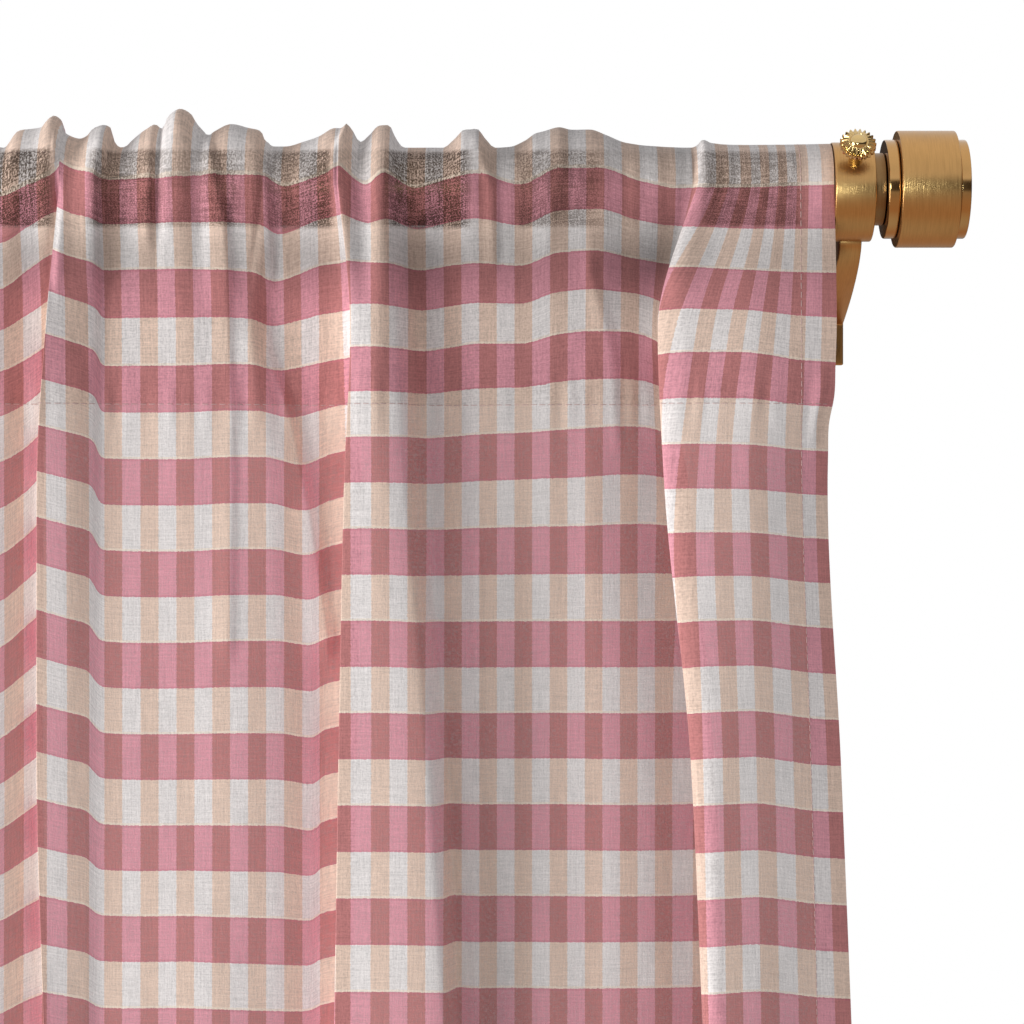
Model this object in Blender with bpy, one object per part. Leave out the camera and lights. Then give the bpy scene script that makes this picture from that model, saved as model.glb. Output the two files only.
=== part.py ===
"""Sheer curtain gathered on a brass rod, with the rod, its two wall brackets and its finials.

Metres, +Z up. X runs along the rod, +Y points into the wall, and the room side is -Y.
The origin is on the back face of the right bracket's wall plate, level with the rod's axis.
The tables are in millimetres: x along the rod, and forward, the distance from the rod's axis
towards the room.
"""
import math

import bmesh
import bpy
import numpy as np
from mathutils import Vector

MM = 0.001

# Rod and wall: a one-inch rod, held with its axis 60 mm out from the wall.
ROD_DIAMETER = 25.4
ROD_WALL = 1.5
ROD_PROJECTION = 60.0
ROD_OVERHANG = 11.2
BRACKET_SPACING = 541.0
SEAT_GAP = 0.3

# Bracket: a ring round the rod, a curved arm and a narrow wall plate, all one casting.
RING_DIAMETER = 34.8
RING_WIDTH = 14.2
RING_DROP = 1.0
RING_CHAMFER = 0.5
RING_BORE_GAP = 0.4
BORE_OVERRUN = 4.0
ARM_WIDTH = 8.0
ARM_TOP = 4.0
ARM_FALL = 25.4
ARM_CURVE = 0.6
ARM_POINTS = 10
ARM_CROWDING = 1.5
ARM_ROOT_BACK = 3.0
ARM_ROOT_RISE = 2.0
ARM_ROOT_DROP = 0.3
PLATE_THICKNESS = 4.0
PLATE_TOP = 14.0
PLATE_BOTTOM = -59.0
PLATE_HOLE_DIAMETER = 3.6
PLATE_HOLE_HEIGHTS = (9.0, -52.0)
PLATE_HOLE_REACH = 10.0
HOLE_SIDES = 24

# Thumbscrew: a fluted head on a short shank, through the ring to the rod.
SCREW_ANGLE = 31.0
SCREW_HEAD_DIAMETER = 12.7
SCREW_HEAD_REACH = 25.7
SCREW_HEAD_THICKNESS = 4.0
SCREW_RIM_CHAMFER = 0.5
SCREW_FACE_FALL = 1.4
SCREW_FACE_RADIUS = 3.9
SCREW_SHANK_DIAMETER = 5.0
SCREW_TIP_CHAMFER = 0.6
SCREW_HOLE_DIAMETER = 5.8
SCREW_HOLE_START = 6.0
SCREW_HOLE_LENGTH = 30.0
SCREW_FLUTES = 20
SCREW_FLUTE_DEPTH = 0.45

# The dome on the thumbscrew's head: radius and height over the head's face, from its edge up.
SCREW_DOME = ((3.2, 0.0), (2.3, 0.85), (0.8, 1.2))

# Finial: an inner collar with a spigot in the rod, a barrel and an end disc.
FINIAL_COLLAR_DIAMETER = 34.7
FINIAL_COLLAR_LENGTH = 4.0
FINIAL_BARREL_DIAMETER = 41.0
FINIAL_BARREL_LENGTH = 20.4
FINIAL_DISC_DIAMETER = 34.7
FINIAL_DISC_LENGTH = 3.6
FINIAL_CHAMFER = 0.6
FINIAL_SPIGOT_LENGTH = 18.0
SPIGOT_CHAMFER = 0.8

# Curtain: the flat panel is 711 mm wide and hangs 1600 mm from its top fold.
CLOTH_THICKNESS = 1.2
CLOTH_DROP = 1600.0
HEADING_HEIGHT = 15.5
ROD_CLEARANCE = 1.4
GATHER_FORWARD = 0.45
GATHER_BACK = 0.3
POCKET_SEAM = -76.0
POCKET_BACK_END = -74.5
POCKET_BACK_GAP = 2.8
POCKET_BACK_REACH = 9.0
POCKET_BACK_EASE = 3.6
POCKET_BACK_STEP = 0.8
POCKET_BACK_CURVE = 1.4

# Heights at which the fold table gives a fold's place, from the rod's axis down.
FOLD_LEVELS = {"rod": 0.0, "pocket": -50.0, "waist": -103.0, "low": -201.0, "foot": -300.0}
LOOSE_HEM_FORWARD = 1.15

# Folds from right to left. cells is the number of mesh columns to the next row, x is the
# fold's place along the rod at each level, and fwd is how far it stands forward there.
FOLDS = [
    # name, cells, x rod, x pocket, x waist, x low, x foot, fwd pocket, fwd waist, fwd low
    ("right edge", 2, -7.9, -6.2, -8.5, -3.7, 0.2, 11.5, 4.0, 2.5),
    ("right hem row", 3, -19.0, -18.7, -17.9, -14.6, -12.3, 14.0, 7.5, 6.0),
    ("panel crown", 3, -38.5, -39.8, -38.4, -36.0, -34.0, 17.0, 13.5, 12.5),
    ("panel shoulder", 3, -50.0, -58.0, -57.5, -49.8, -47.5, 17.0, 14.5, 15.0),
    ("panel fold", 2, -55.2, -68.7, -66.4, -57.1, -52.7, 13.0, 11.0, 11.0),
    ("under panel fold", 2, -56.7, -70.2, -64.0, -54.6, -50.2, 2.5, -6.0, -9.5),
    ("centre right", 2, -62.0, -73.8, -72.6, -63.0, -59.5, 1.0, -4.0, -7.5),
    ("centre slope", 3, -75.0, -80.5, -81.4, -74.4, -72.0, 2.0, -2.5, -5.5),
    ("centre rise", 3, -88.9, -92.1, -93.8, -88.5, -87.0, 4.5, -0.5, -4.2),
    ("centre crown", 3, -102.8, -103.5, -104.3, -102.6, -101.5, 5.0, -0.5, -4.6),
    ("centre fall", 3, -116.6, -116.6, -116.6, -116.6, -116.0, 2.5, -2.5, -5.2),
    ("crease", 2, -131.2, -131.3, -130.6, -129.2, -129.5, -1.0, -4.6, -5.0),
    ("recess slope", 3, -142.0, -139.5, -138.5, -135.5, -133.5, -3.0, -5.8, -5.2),
    ("recess", 2, -153.1, -151.0, -148.8, -141.8, -137.5, -4.5, -6.5, -5.5),
    ("pleat right", 2, -163.1, -159.8, -156.9, -149.0, -142.5, 12.0, 11.0, 9.5),
    ("pleat crest", 3, -170.3, -167.3, -167.4, -166.0, -163.0, 15.0, 13.0, 11.0),
    ("pleat fold", 2, -179.1, -175.7, -177.9, -180.0, -181.5, 14.0, 12.5, 11.0),
    ("under pleat fold", 2, -180.8, -177.2, -175.5, -177.4, -178.8, 5.0, -3.0, -5.0),
    ("left trough", 3, -187.0, -184.4, -183.5, -185.4, -187.0, -1.0, -4.5, -4.0),
    ("slant crease", 2, -198.6, -203.5, -193.5, -190.8, -192.5, -1.0, -2.5, -2.0),
    ("slant slope", 3, -206.0, -211.5, -206.0, -202.5, -204.0, 4.0, 3.0, 2.0),
    ("small crease", 4, -219.0, -219.5, -218.4, -217.7, -219.0, 5.5, 4.5, 4.5),
    ("left crown", 3, -234.3, -235.4, -235.5, -235.5, -237.0, 8.0, 6.5, 5.5),
    ("left fall", 3, -246.6, -247.8, -248.0, -248.0, -250.0, 8.0, 7.0, 6.5),
    ("ridge foot", 2, -261.0, -261.5, -262.2, -262.4, -263.0, 8.0, 8.0, 8.0),
    ("ridge step", 2, -265.0, -265.5, -266.6, -268.4, -268.6, 11.0, 10.5, 10.0),
    ("ridge slope", 2, -272.0, -273.4, -274.2, -274.6, -274.8, 15.0, 14.0, 12.0),
    ("ridge", 2, -276.5, -281.0, -284.4, -284.8, -282.0, 18.0, 16.0, 14.0),
    ("ridge back", 2, -279.2, -283.4, -286.8, -287.2, -284.6, 6.0, 5.0, 4.0),
    ("left slope", 2, -288.5, -289.5, -290.5, -290.5, -290.5, 7.0, 6.5, 6.0),
    ("left end", 3, -297.0, -300.5, -301.0, -301.5, -302.0, 11.0, 10.5, 10.0),
]

# Plain folds that finish the panel to its left edge: each keeps its x and depth all the way.
PLAIN_FOLDS = [
    # name, cells, x, forward, height of the top fold
    ("ridge b", 3, -314.0, 15.0, 20.5),
    ("trough b", 3, -331.0, -3.0, 15.5),
    ("ridge c", 3, -349.0, 17.0, 21.5),
    ("trough c", 3, -369.0, -4.0, 15.0),
    ("ridge d", 3, -387.0, 16.0, 19.5),
    ("trough d", 3, -407.0, -4.0, 15.5),
    ("ridge e", 3, -426.0, 18.0, 22.0),
    ("trough e", 3, -447.0, -3.0, 15.0),
    ("ridge f", 3, -466.0, 16.0, 20.0),
    ("trough f", 3, -485.0, -3.0, 15.5),
    ("ridge g", 3, -503.0, 15.0, 20.5),
    ("left hem row", 2, -521.0, 6.0, 16.0),
    ("left edge", 0, -532.4, 4.0, 15.5),
]

# The wavy line of the top fold: x along the rod and height above the rod's axis.
TOP_LINE = [
    (-6.2, 16.0), (-21.3, 15.7), (-39.0, 15.5), (-49.2, 14.9), (-52.0, 16.0), (-56.6, 14.6),
    (-70.7, 15.2), (-79.5, 16.4), (-86.6, 19.2), (-91.9, 21.0), (-102.5, 20.6), (-110.6, 19.8),
    (-114.8, 17.1), (-120.1, 14.9), (-125.4, 14.6), (-128.9, 17.8), (-132.4, 20.6),
    (-136.0, 21.0), (-139.5, 17.8), (-143.7, 14.6), (-157.5, 14.6), (-159.6, 16.8),
    (-162.4, 20.3), (-166.0, 20.5), (-169.5, 17.8), (-173.0, 15.3), (-175.5, 18.5),
    (-178.3, 21.3), (-181.8, 21.5), (-187.1, 18.7), (-192.4, 16.8), (-199.5, 15.0),
    (-206.2, 15.2), (-207.9, 19.2), (-211.8, 21.0), (-218.2, 22.9), (-224.2, 20.3),
    (-227.3, 18.2), (-229.4, 19.6), (-233.0, 24.9), (-236.5, 27.0), (-240.0, 25.2),
    (-242.8, 19.6), (-245.3, 21.7), (-248.8, 20.5), (-252.4, 17.8), (-255.9, 14.8),
    (-259.4, 14.6), (-261.2, 20.3), (-263.7, 21.5), (-266.5, 21.0), (-268.9, 18.2),
    (-271.8, 16.9), (-276.7, 18.9), (-278.5, 24.5), (-280.6, 25.9), (-282.4, 24.9),
    (-284.8, 21.9), (-292.9, 20.6), (-298.2, 14.6),
]

# Heights of the mesh rows down the front, from the row under the rod to the row over the hem,
# and the angles of the rows over the rod, from front to back.
FRONT_ROWS = (-12.0, -26.0, -42.0, -60.0, -76.0, -95.0, -122.0, -160.0, -210.0, -285.0,
              -400.0, -620.0, -1050.0)
OVER_ANGLES = (0.0, 32.0, 62.0, 90.0, 118.0, 148.0, 180.0)
BACK_ROWS = (-22.0, -48.0)

TURNED_SIDES = 40


def clear_scene():
    """Remove every object that the start-up scene holds."""
    for item in list(bpy.data.objects):
        bpy.data.objects.remove(item, do_unlink=True)


def finish(name, colour, roughness, metallic):
    """A Principled material with one colour, roughness and metallic value."""
    material = bpy.data.materials.new(name)
    material.use_nodes = True
    shader = material.node_tree.nodes["Principled BSDF"]
    shader.inputs["Base Color"].default_value = (*colour, 1.0)
    shader.inputs["Roughness"].default_value = roughness
    shader.inputs["Metallic"].default_value = metallic
    return material


def mesh_object(name, points, faces, material):
    """An object from points in metres and faces that already point outwards."""
    mesh = bpy.data.meshes.new(name)
    mesh.from_pydata([tuple(p) for p in points], [], faces)
    mesh.validate()
    mesh.shade_smooth()
    mesh.set_sharp_from_angle(angle=math.radians(35.0))
    mesh.materials.append(material)
    item = bpy.data.objects.new(name, mesh)
    bpy.context.scene.collection.objects.link(item)
    return item


def smooth_slopes(places, values):
    """Slopes for a smooth curve through the values that never runs past them: zero at a peak
    or a valley, and elsewhere the weighted harmonic mean of the two neighbouring slopes."""
    step = np.diff(places)[:, None]
    secant = np.diff(values, axis=0) / step
    slopes = np.zeros_like(values)
    before, after = secant[:-1], secant[1:]
    w_before = 2.0 * step[1:] + step[:-1]
    w_after = step[1:] + 2.0 * step[:-1]
    same = before * after > 0.0
    safe_before = np.where(same, before, 1.0)
    safe_after = np.where(same, after, 1.0)
    mean = (w_before + w_after) / (w_before / safe_before + w_after / safe_after)
    slopes[1:-1] = np.where(same, mean, 0.0)
    slopes[0] = secant[0]
    slopes[-1] = secant[-1]
    return slopes


def smooth_curve(places, values, wanted):
    """Read a table of values at rising places, by cubic pieces with smooth_slopes."""
    places = np.asarray(places, float)
    values = np.asarray(values, float)
    flat = values.ndim == 1
    if flat:
        values = values[:, None]
    slopes = smooth_slopes(places, values)
    wanted = np.clip(np.asarray(wanted, float), places[0], places[-1])
    i = np.clip(np.searchsorted(places, wanted, side="right") - 1, 0, len(places) - 2)
    width = (places[i + 1] - places[i])[:, None]
    t = ((wanted - places[i]))[:, None] / width
    result = (
        (1 + 2 * t) * (1 - t) ** 2 * values[i]
        + t * (1 - t) ** 2 * width * slopes[i]
        + t * t * (3 - 2 * t) * values[i + 1]
        - t * t * (1 - t) * width * slopes[i + 1]
    )
    return result[:, 0] if flat else result


def fold_columns():
    """x and forward for each mesh column at each level, and its top fold's height.

    The rows of both fold tables are read as one smooth curve along the cloth. At the rod the
    cloth lies against it, and stands forward by a share of what its top fold stands up."""
    plain_rows = [
        (name, cells, x, x, x, x, x, forward, forward, forward)
        for name, cells, x, forward, top in PLAIN_FOLDS
    ]
    rows = FOLDS + plain_rows
    numbers = np.array([row[2:] for row in rows])
    places = []
    for index, row in enumerate(rows):
        cells = max(row[1], 1)
        places += [index + k / cells for k in range(cells)]
        if row[1] == 0:
            break
    read = smooth_curve(np.arange(len(rows)), numbers, places)
    x, hanging = np.split(read, [len(FOLD_LEVELS)], axis=1)
    top_line = sorted(TOP_LINE + [(fold[2], fold[4]) for fold in PLAIN_FOLDS])
    top = smooth_curve([p[0] for p in top_line], [p[1] for p in top_line], x[:, 0])
    at_rod = rod_stand_off() + GATHER_FORWARD * (top - HEADING_HEIGHT).clip(0.0)
    forward = np.column_stack([at_rod, hanging, hanging[:, -1] * LOOSE_HEM_FORWARD])
    return x, forward, top


def rod_stand_off():
    """How far the middle of the cloth lies from the rod's axis where it is drawn tight."""
    return ROD_DIAMETER / 2 + ROD_CLEARANCE + CLOTH_THICKNESS / 2


def at_height(levels, columns, height):
    """Read each mesh column's value at one height, down its levels."""
    drop = -np.array(levels)
    return smooth_curve(drop, columns.T, [-height])[0]


def seam_back(x, forward):
    """Where the turned-down back of the pocket ends: behind the deepest cloth within
    POCKET_BACK_REACH of each column, eased along the width."""
    near = np.abs(x[:, None] - x[None, :]) < POCKET_BACK_REACH
    deepest = np.where(near, forward[None, :], np.inf).min(axis=1)
    weight = np.exp(-(((x[:, None] - x[None, :]) / POCKET_BACK_EASE) ** 2))
    eased = (weight * deepest[None, :]).sum(axis=1) / weight.sum(axis=1)
    return np.minimum(eased, deepest + POCKET_BACK_STEP) - POCKET_BACK_GAP


def curtain_rows():
    """The middle of the cloth as rows of points, from its bottom edge up the front, over the
    rod and down behind to the end of the pocket, in millimetres (x, forward, height)."""
    levels = list(FOLD_LEVELS.values())
    x, forward, top = fold_columns()
    rows = []
    bottom = HEADING_HEIGHT - CLOTH_DROP
    for height in (bottom,) + FRONT_ROWS[::-1]:
        reach = max(height, FOLD_LEVELS["foot"])
        row_x = at_height(levels, x, reach)
        row_forward = at_height(levels, forward, reach)
        rows.append(np.column_stack([row_x, row_forward, np.full(len(row_x), height)]))
    back_stand_off = rod_stand_off() + GATHER_BACK * (top - HEADING_HEIGHT).clip(0.0)
    for angle in OVER_ANGLES:
        side = math.cos(math.radians(angle))
        depth = forward[:, 0] if side > 0 else back_stand_off
        rise = top * math.sin(math.radians(angle))
        rows.append(np.column_stack([x[:, 0], depth * side, rise]))
    seam_x = at_height(levels, x, FOLD_LEVELS["pocket"])
    seam_forward = seam_back(seam_x, at_height(levels, forward, POCKET_SEAM))
    for height in BACK_ROWS + (POCKET_BACK_END,):
        share = (height / POCKET_BACK_END) ** POCKET_BACK_CURVE
        row_x = x[:, 0] * (1 - share) + seam_x * share
        row_forward = -back_stand_off * (1 - share) + seam_forward * share
        rows.append(np.column_stack([row_x, row_forward, np.full(len(row_x), height)]))
    return np.array(rows)


def to_world(points):
    """Turn (x, forward, height) in millimetres into metres in the part's frame."""
    x, forward, height = points[..., 0], points[..., 1], points[..., 2]
    return np.stack([x, -ROD_PROJECTION - forward, height], axis=-1) * MM


def make_curtain(material):
    """One closed sheet: the middle surface moved half the thickness each way along its
    normal, and closed round its four edges."""
    middle = to_world(curtain_rows())
    along = np.gradient(middle, axis=1)
    up = np.gradient(middle, axis=0)
    normal = np.cross(up, along)
    normal /= np.linalg.norm(normal, axis=2)[:, :, None]
    half = 0.5 * CLOTH_THICKNESS * MM
    room_side = middle + half * normal
    wall_side = middle - half * normal
    rows, columns = middle.shape[:2]
    points = np.concatenate([room_side.reshape(-1, 3), wall_side.reshape(-1, 3)])
    back = rows * columns
    faces = []
    for r in range(rows - 1):
        for c in range(columns - 1):
            a = r * columns + c
            b, d, e = a + 1, a + columns, a + columns + 1
            faces.append((a, d, e, b))
            faces.append((back + a, back + b, back + e, back + d))
    for c in range(columns - 1):
        top = (rows - 1) * columns + c
        faces.append((c, c + 1, back + c + 1, back + c))
        faces.append((top, back + top, back + top + 1, top + 1))
    for r in range(rows - 1):
        first = r * columns
        last = first + columns - 1
        faces.append((first, back + first, back + first + columns, first + columns))
        faces.append((last, last + columns, back + last + columns, back + last))
    return mesh_object("curtain", points, faces, material)


def turned_points(profile, sides, flutes=0, flute_depth=0.0, first_fluted=0, last_fluted=0):
    """Rings of points about the local X axis, one for each (x, radius) of the profile. Rings
    from first_fluted to last_fluted have their radius drawn in between the flutes."""
    rings = []
    for k, (x, radius) in enumerate(profile):
        ring = []
        for s in range(sides):
            angle = 2.0 * math.pi * s / sides
            fluted = flutes and first_fluted <= k <= last_fluted
            cut = flute_depth * 0.5 * (1.0 - math.cos(flutes * angle)) if fluted else 0.0
            r = radius - cut
            ring.append((x, r * math.cos(angle), r * math.sin(angle)))
        rings.append(ring)
    return rings


def turned_solid(name, profile, material, sides=TURNED_SIDES, closed_profile=False, **fluting):
    """A solid of revolution about the local X axis, in millimetres scaled to metres. An open
    profile is capped with a flat face at each end, and a closed one makes a tube."""
    rings = turned_points(profile, sides, **fluting)
    points = [tuple(MM * v for v in p) for ring in rings for p in ring]
    count = len(profile)
    faces = []
    for k in range(count if closed_profile else count - 1):
        nxt = (k + 1) % count
        for s in range(sides):
            t = (s + 1) % sides
            faces.append((k * sides + s, nxt * sides + s, nxt * sides + t, k * sides + t))
    if not closed_profile:
        faces.append(tuple(range(sides)))
        faces.append(tuple((count - 1) * sides + s for s in reversed(range(sides))))
    item = mesh_object(name, points, faces, material)
    outwards(item)
    return item


def outwards(item):
    """Point every face of a closed mesh outwards."""
    edit = bmesh.new()
    edit.from_mesh(item.data)
    bmesh.ops.recalc_face_normals(edit, faces=edit.faces)
    edit.to_mesh(item.data)
    edit.free()


def cutter(item, x, forward, height, pitch=0.0):
    """Place a tool shape and hide it from the result."""
    item.location = (x * MM, -(ROD_PROJECTION + forward) * MM, height * MM)
    item.rotation_euler = (0.0, 0.0, pitch)
    item.hide_render = True
    item.display_type = "WIRE"
    return item


def cut(target, tool, operation="DIFFERENCE"):
    """Add a Boolean of the tool to the target."""
    boolean = target.modifiers.new(tool.name, "BOOLEAN")
    boolean.object = tool
    boolean.operation = operation
    boolean.solver = "EXACT"


def plug(name, start, end, diameter, material, sides=HOLE_SIDES):
    """A plain round cutter along the local X axis."""
    return turned_solid(name, [(start, diameter / 2), (end, diameter / 2)], material, sides=sides)


def chamfered(length, radius, chamfer):
    """The (x, radius) outline of a short cylinder, centred, with a chamfer at each end."""
    half = length / 2
    return [
        (-half, radius - chamfer), (-half + chamfer, radius),
        (half - chamfer, radius), (half, radius - chamfer),
    ]


def screw_direction():
    """The thumbscrew's axis as (forward, up)."""
    angle = math.radians(SCREW_ANGLE)
    return math.cos(angle), math.sin(angle)


def aim_screw(item, x, distance):
    """Lay a turned piece's local X axis along the thumbscrew's axis, with its origin at the
    given distance from the rod's axis."""
    forward, up = screw_direction()
    item.location = (
        x * MM, -(ROD_PROJECTION + forward * distance) * MM, up * distance * MM,
    )
    item.rotation_mode = "QUATERNION"
    item.rotation_quaternion = Vector((1.0, 0.0, 0.0)).rotation_difference(
        Vector((0.0, -forward, up))
    )


def arm_outline():
    """The arm and wall plate seen along the rod, as (forward, height) points: the underside
    falls away from the ring as a power of its distance behind the rod."""
    plate_front = -(ROD_PROJECTION - PLATE_THICKNESS)
    ring_foot = -(RING_DIAMETER / 2 + RING_DROP)
    underside = []
    for k in range(1, ARM_POINTS + 1):
        share = (k / ARM_POINTS) ** ARM_CROWDING
        underside.append((plate_front * share, ring_foot - ARM_FALL * share ** ARM_CURVE))
    return (
        [(-ROD_PROJECTION, PLATE_TOP), (plate_front, PLATE_TOP), (plate_front, ARM_TOP),
         (-ARM_ROOT_BACK, ARM_TOP), (0.0, ring_foot + ARM_ROOT_RISE),
         (0.0, ring_foot - ARM_ROOT_DROP)]
        + underside
        + [(plate_front, PLATE_BOTTOM), (-ROD_PROJECTION, PLATE_BOTTOM)]
    )


def make_arm(name, x, material):
    """The arm and plate as one flat bar, ARM_WIDTH thick."""
    outline = arm_outline()
    count = len(outline)
    half = ARM_WIDTH / 2
    points = []
    for side in (-half, half):
        for forward, height in outline:
            points.append(((x + side) * MM, -(ROD_PROJECTION + forward) * MM, height * MM))
    faces = [tuple(range(count)), tuple(count + k for k in reversed(range(count)))]
    for k in range(count):
        n = (k + 1) % count
        faces.append((k, k + count, n + count, n))
    item = mesh_object(name, points, faces, material)
    outwards(item)
    return item


def make_bracket(side, x, material):
    """The casting: arm and plate, joined to the ring, then bored for the rod, the
    thumbscrew and the two wall screws."""
    bracket = make_arm("bracket_" + side, x, material)
    ring = turned_solid(
        "ring_" + side, chamfered(RING_WIDTH, RING_DIAMETER / 2, RING_CHAMFER), material
    )
    cut(bracket, cutter(ring, x, 0.0, -RING_DROP), "UNION")
    reach = RING_WIDTH / 2 + BORE_OVERRUN
    bore_diameter = ROD_DIAMETER + 2 * RING_BORE_GAP
    bore = plug("bore_" + side, -reach, reach, bore_diameter, material, TURNED_SIDES)
    cut(bracket, cutter(bore, x, 0.0, 0.0))
    hole = plug("screw_hole_" + side, 0.0, SCREW_HOLE_LENGTH, SCREW_HOLE_DIAMETER, material)
    cutter(hole, x, 0.0, 0.0)
    aim_screw(hole, x, SCREW_HOLE_START)
    cut(bracket, hole)
    for number, height in enumerate(PLATE_HOLE_HEIGHTS, 1):
        wall_hole = plug(
            "wall_hole_%s_%d" % (side, number), -PLATE_HOLE_REACH, PLATE_HOLE_REACH,
            PLATE_HOLE_DIAMETER, material,
        )
        cut(bracket, cutter(wall_hole, x, -ROD_PROJECTION, height, math.pi / 2))
    return bracket


def make_thumbscrew(side, x, material):
    """A fluted, domed head on a plain shank that stops just off the rod."""
    shank = SCREW_SHANK_DIAMETER / 2
    head = SCREW_HEAD_DIAMETER / 2
    tip = ROD_DIAMETER / 2 + SEAT_GAP
    under = SCREW_HEAD_REACH - SCREW_HEAD_THICKNESS / 2
    over = SCREW_HEAD_REACH + SCREW_HEAD_THICKNESS / 2
    profile = [
        (tip, shank - SCREW_TIP_CHAMFER), (tip + SCREW_TIP_CHAMFER, shank), (under, shank),
        (under, head - SCREW_RIM_CHAMFER), (under + SCREW_RIM_CHAMFER, head),
        (over - SCREW_FACE_FALL, head), (over, SCREW_FACE_RADIUS),
    ] + [(over + height, radius) for radius, height in SCREW_DOME]
    screw = turned_solid(
        "thumbscrew_" + side, profile, material, sides=2 * SCREW_FLUTES,
        flutes=SCREW_FLUTES, flute_depth=SCREW_FLUTE_DEPTH, first_fluted=3, last_fluted=6,
    )
    aim_screw(screw, x, 0.0)
    return screw


def make_rod(material):
    """A tube that runs through both rings and ends at the finials."""
    outer = ROD_DIAMETER / 2
    inner = outer - ROD_WALL
    right = ROD_OVERHANG
    left = -BRACKET_SPACING - ROD_OVERHANG
    profile = [(left, inner), (left, outer), (right, outer), (right, inner)]
    rod = turned_solid("rod", profile, material, closed_profile=True)
    rod.location = (0.0, -ROD_PROJECTION * MM, 0.0)
    return rod


def make_finial(side, end, direction, materials):
    """A collar with a spigot in the rod, a barrel and a disc, stacked outwards from the
    rod's end. direction is +1 at the right end and -1 at the left."""
    spigot = ROD_DIAMETER / 2 - ROD_WALL - SEAT_GAP
    collar_start = SEAT_GAP
    collar_end = collar_start + FINIAL_COLLAR_LENGTH
    collar_radius = FINIAL_COLLAR_DIAMETER / 2
    collar = [
        (-FINIAL_SPIGOT_LENGTH, spigot - SPIGOT_CHAMFER),
        (-FINIAL_SPIGOT_LENGTH + SPIGOT_CHAMFER, spigot),
        (collar_start, spigot), (collar_start, collar_radius - FINIAL_CHAMFER),
        (collar_start + FINIAL_CHAMFER, collar_radius), (collar_end, collar_radius),
    ]
    barrel_middle = collar_end + SEAT_GAP + FINIAL_BARREL_LENGTH / 2
    disc_middle = barrel_middle + (FINIAL_BARREL_LENGTH + FINIAL_DISC_LENGTH) / 2 + SEAT_GAP
    barrel = chamfered(FINIAL_BARREL_LENGTH, FINIAL_BARREL_DIAMETER / 2, FINIAL_CHAMFER)
    disc = chamfered(FINIAL_DISC_LENGTH, FINIAL_DISC_DIAMETER / 2, FINIAL_CHAMFER)
    pieces = (
        ("finial_collar_", collar, 0.0, materials["polished"]),
        ("finial_barrel_", barrel, barrel_middle, materials["brushed"]),
        ("finial_disc_", disc, disc_middle, materials["polished"]),
    )
    for name, profile, shift, material in pieces:
        placed = [(end + direction * (x + shift), radius) for x, radius in profile]
        item = turned_solid(name + side, placed, material)
        item.location = (0.0, -ROD_PROJECTION * MM, 0.0)


def build():
    """Make every piece in its hung place."""
    clear_scene()
    cloth = finish("check_voile", (0.78, 0.52, 0.52), 0.85, 0.0)
    brushed = finish("brushed_brass", (0.62, 0.41, 0.19), 0.35, 1.0)
    polished = finish("polished_brass", (0.68, 0.45, 0.2), 0.18, 1.0)
    make_rod(brushed)
    make_curtain(cloth)
    brasses = {"brushed": brushed, "polished": polished}
    for side, x, end, direction in (
        ("right", 0.0, ROD_OVERHANG, 1),
        ("left", -BRACKET_SPACING, -BRACKET_SPACING - ROD_OVERHANG, -1),
    ):
        make_bracket(side, x, brushed)
        make_thumbscrew(side, x, polished)
        make_finial(side, end, direction, brasses)


build()
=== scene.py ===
"""Sheer checked curtain gathered on a brass rod: the looks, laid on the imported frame."""

import math

import bmesh
import bpy
import numpy as np
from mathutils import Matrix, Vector


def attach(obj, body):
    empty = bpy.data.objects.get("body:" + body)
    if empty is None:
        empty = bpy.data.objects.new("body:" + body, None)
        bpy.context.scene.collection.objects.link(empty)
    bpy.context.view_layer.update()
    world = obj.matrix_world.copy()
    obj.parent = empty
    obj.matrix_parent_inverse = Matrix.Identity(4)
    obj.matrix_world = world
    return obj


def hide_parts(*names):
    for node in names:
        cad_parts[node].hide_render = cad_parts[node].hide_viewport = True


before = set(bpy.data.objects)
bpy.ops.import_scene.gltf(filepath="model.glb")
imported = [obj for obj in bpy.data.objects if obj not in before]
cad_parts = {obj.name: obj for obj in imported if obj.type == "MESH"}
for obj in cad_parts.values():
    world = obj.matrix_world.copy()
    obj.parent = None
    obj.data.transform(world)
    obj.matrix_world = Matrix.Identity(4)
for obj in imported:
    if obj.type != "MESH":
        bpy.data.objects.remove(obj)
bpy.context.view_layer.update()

MM = 0.001


# Wall brackets. Each real one is a single brass casting, brushed and lacquered: a ring that the
# rod slides through, a curved arm and a narrow plate with two screw holes. The ring is turned
# here and the arm is a flat bar with softened edges, cut to fit the ring's wall.
ROD_OUT = 60.0
ROD_RADIUS = 12.7
BRACKETS = {"right": 0.0, "left": -541.0}
RING_RADIUS = 17.4
RING_BORE = 13.1
RING_WIDE = 14.2
RING_LOW = 1.0
RING_EDGE = 0.55
ARM_WIDE = 8.0
ARM_HIGH = 4.0
ARM_FALL = 25.4
ARM_CURVE = 0.6
ARM_CROWDING = 1.5
ARM_SINK = 0.3
ARM_SOFT_EDGE = 0.5
PLATE_THICK = 4.0
PLATE_ENDS = (14.0, -59.0)
WALL_HOLES = (9.0, -52.0)
WALL_HOLE_RADIUS = 1.8
DRILL_REACH = 12.0
DRILL_SIDES = 32
BRASS = (0.47, 0.262, 0.098)
BRASS_PALE = (0.60, 0.42, 0.185)


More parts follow.
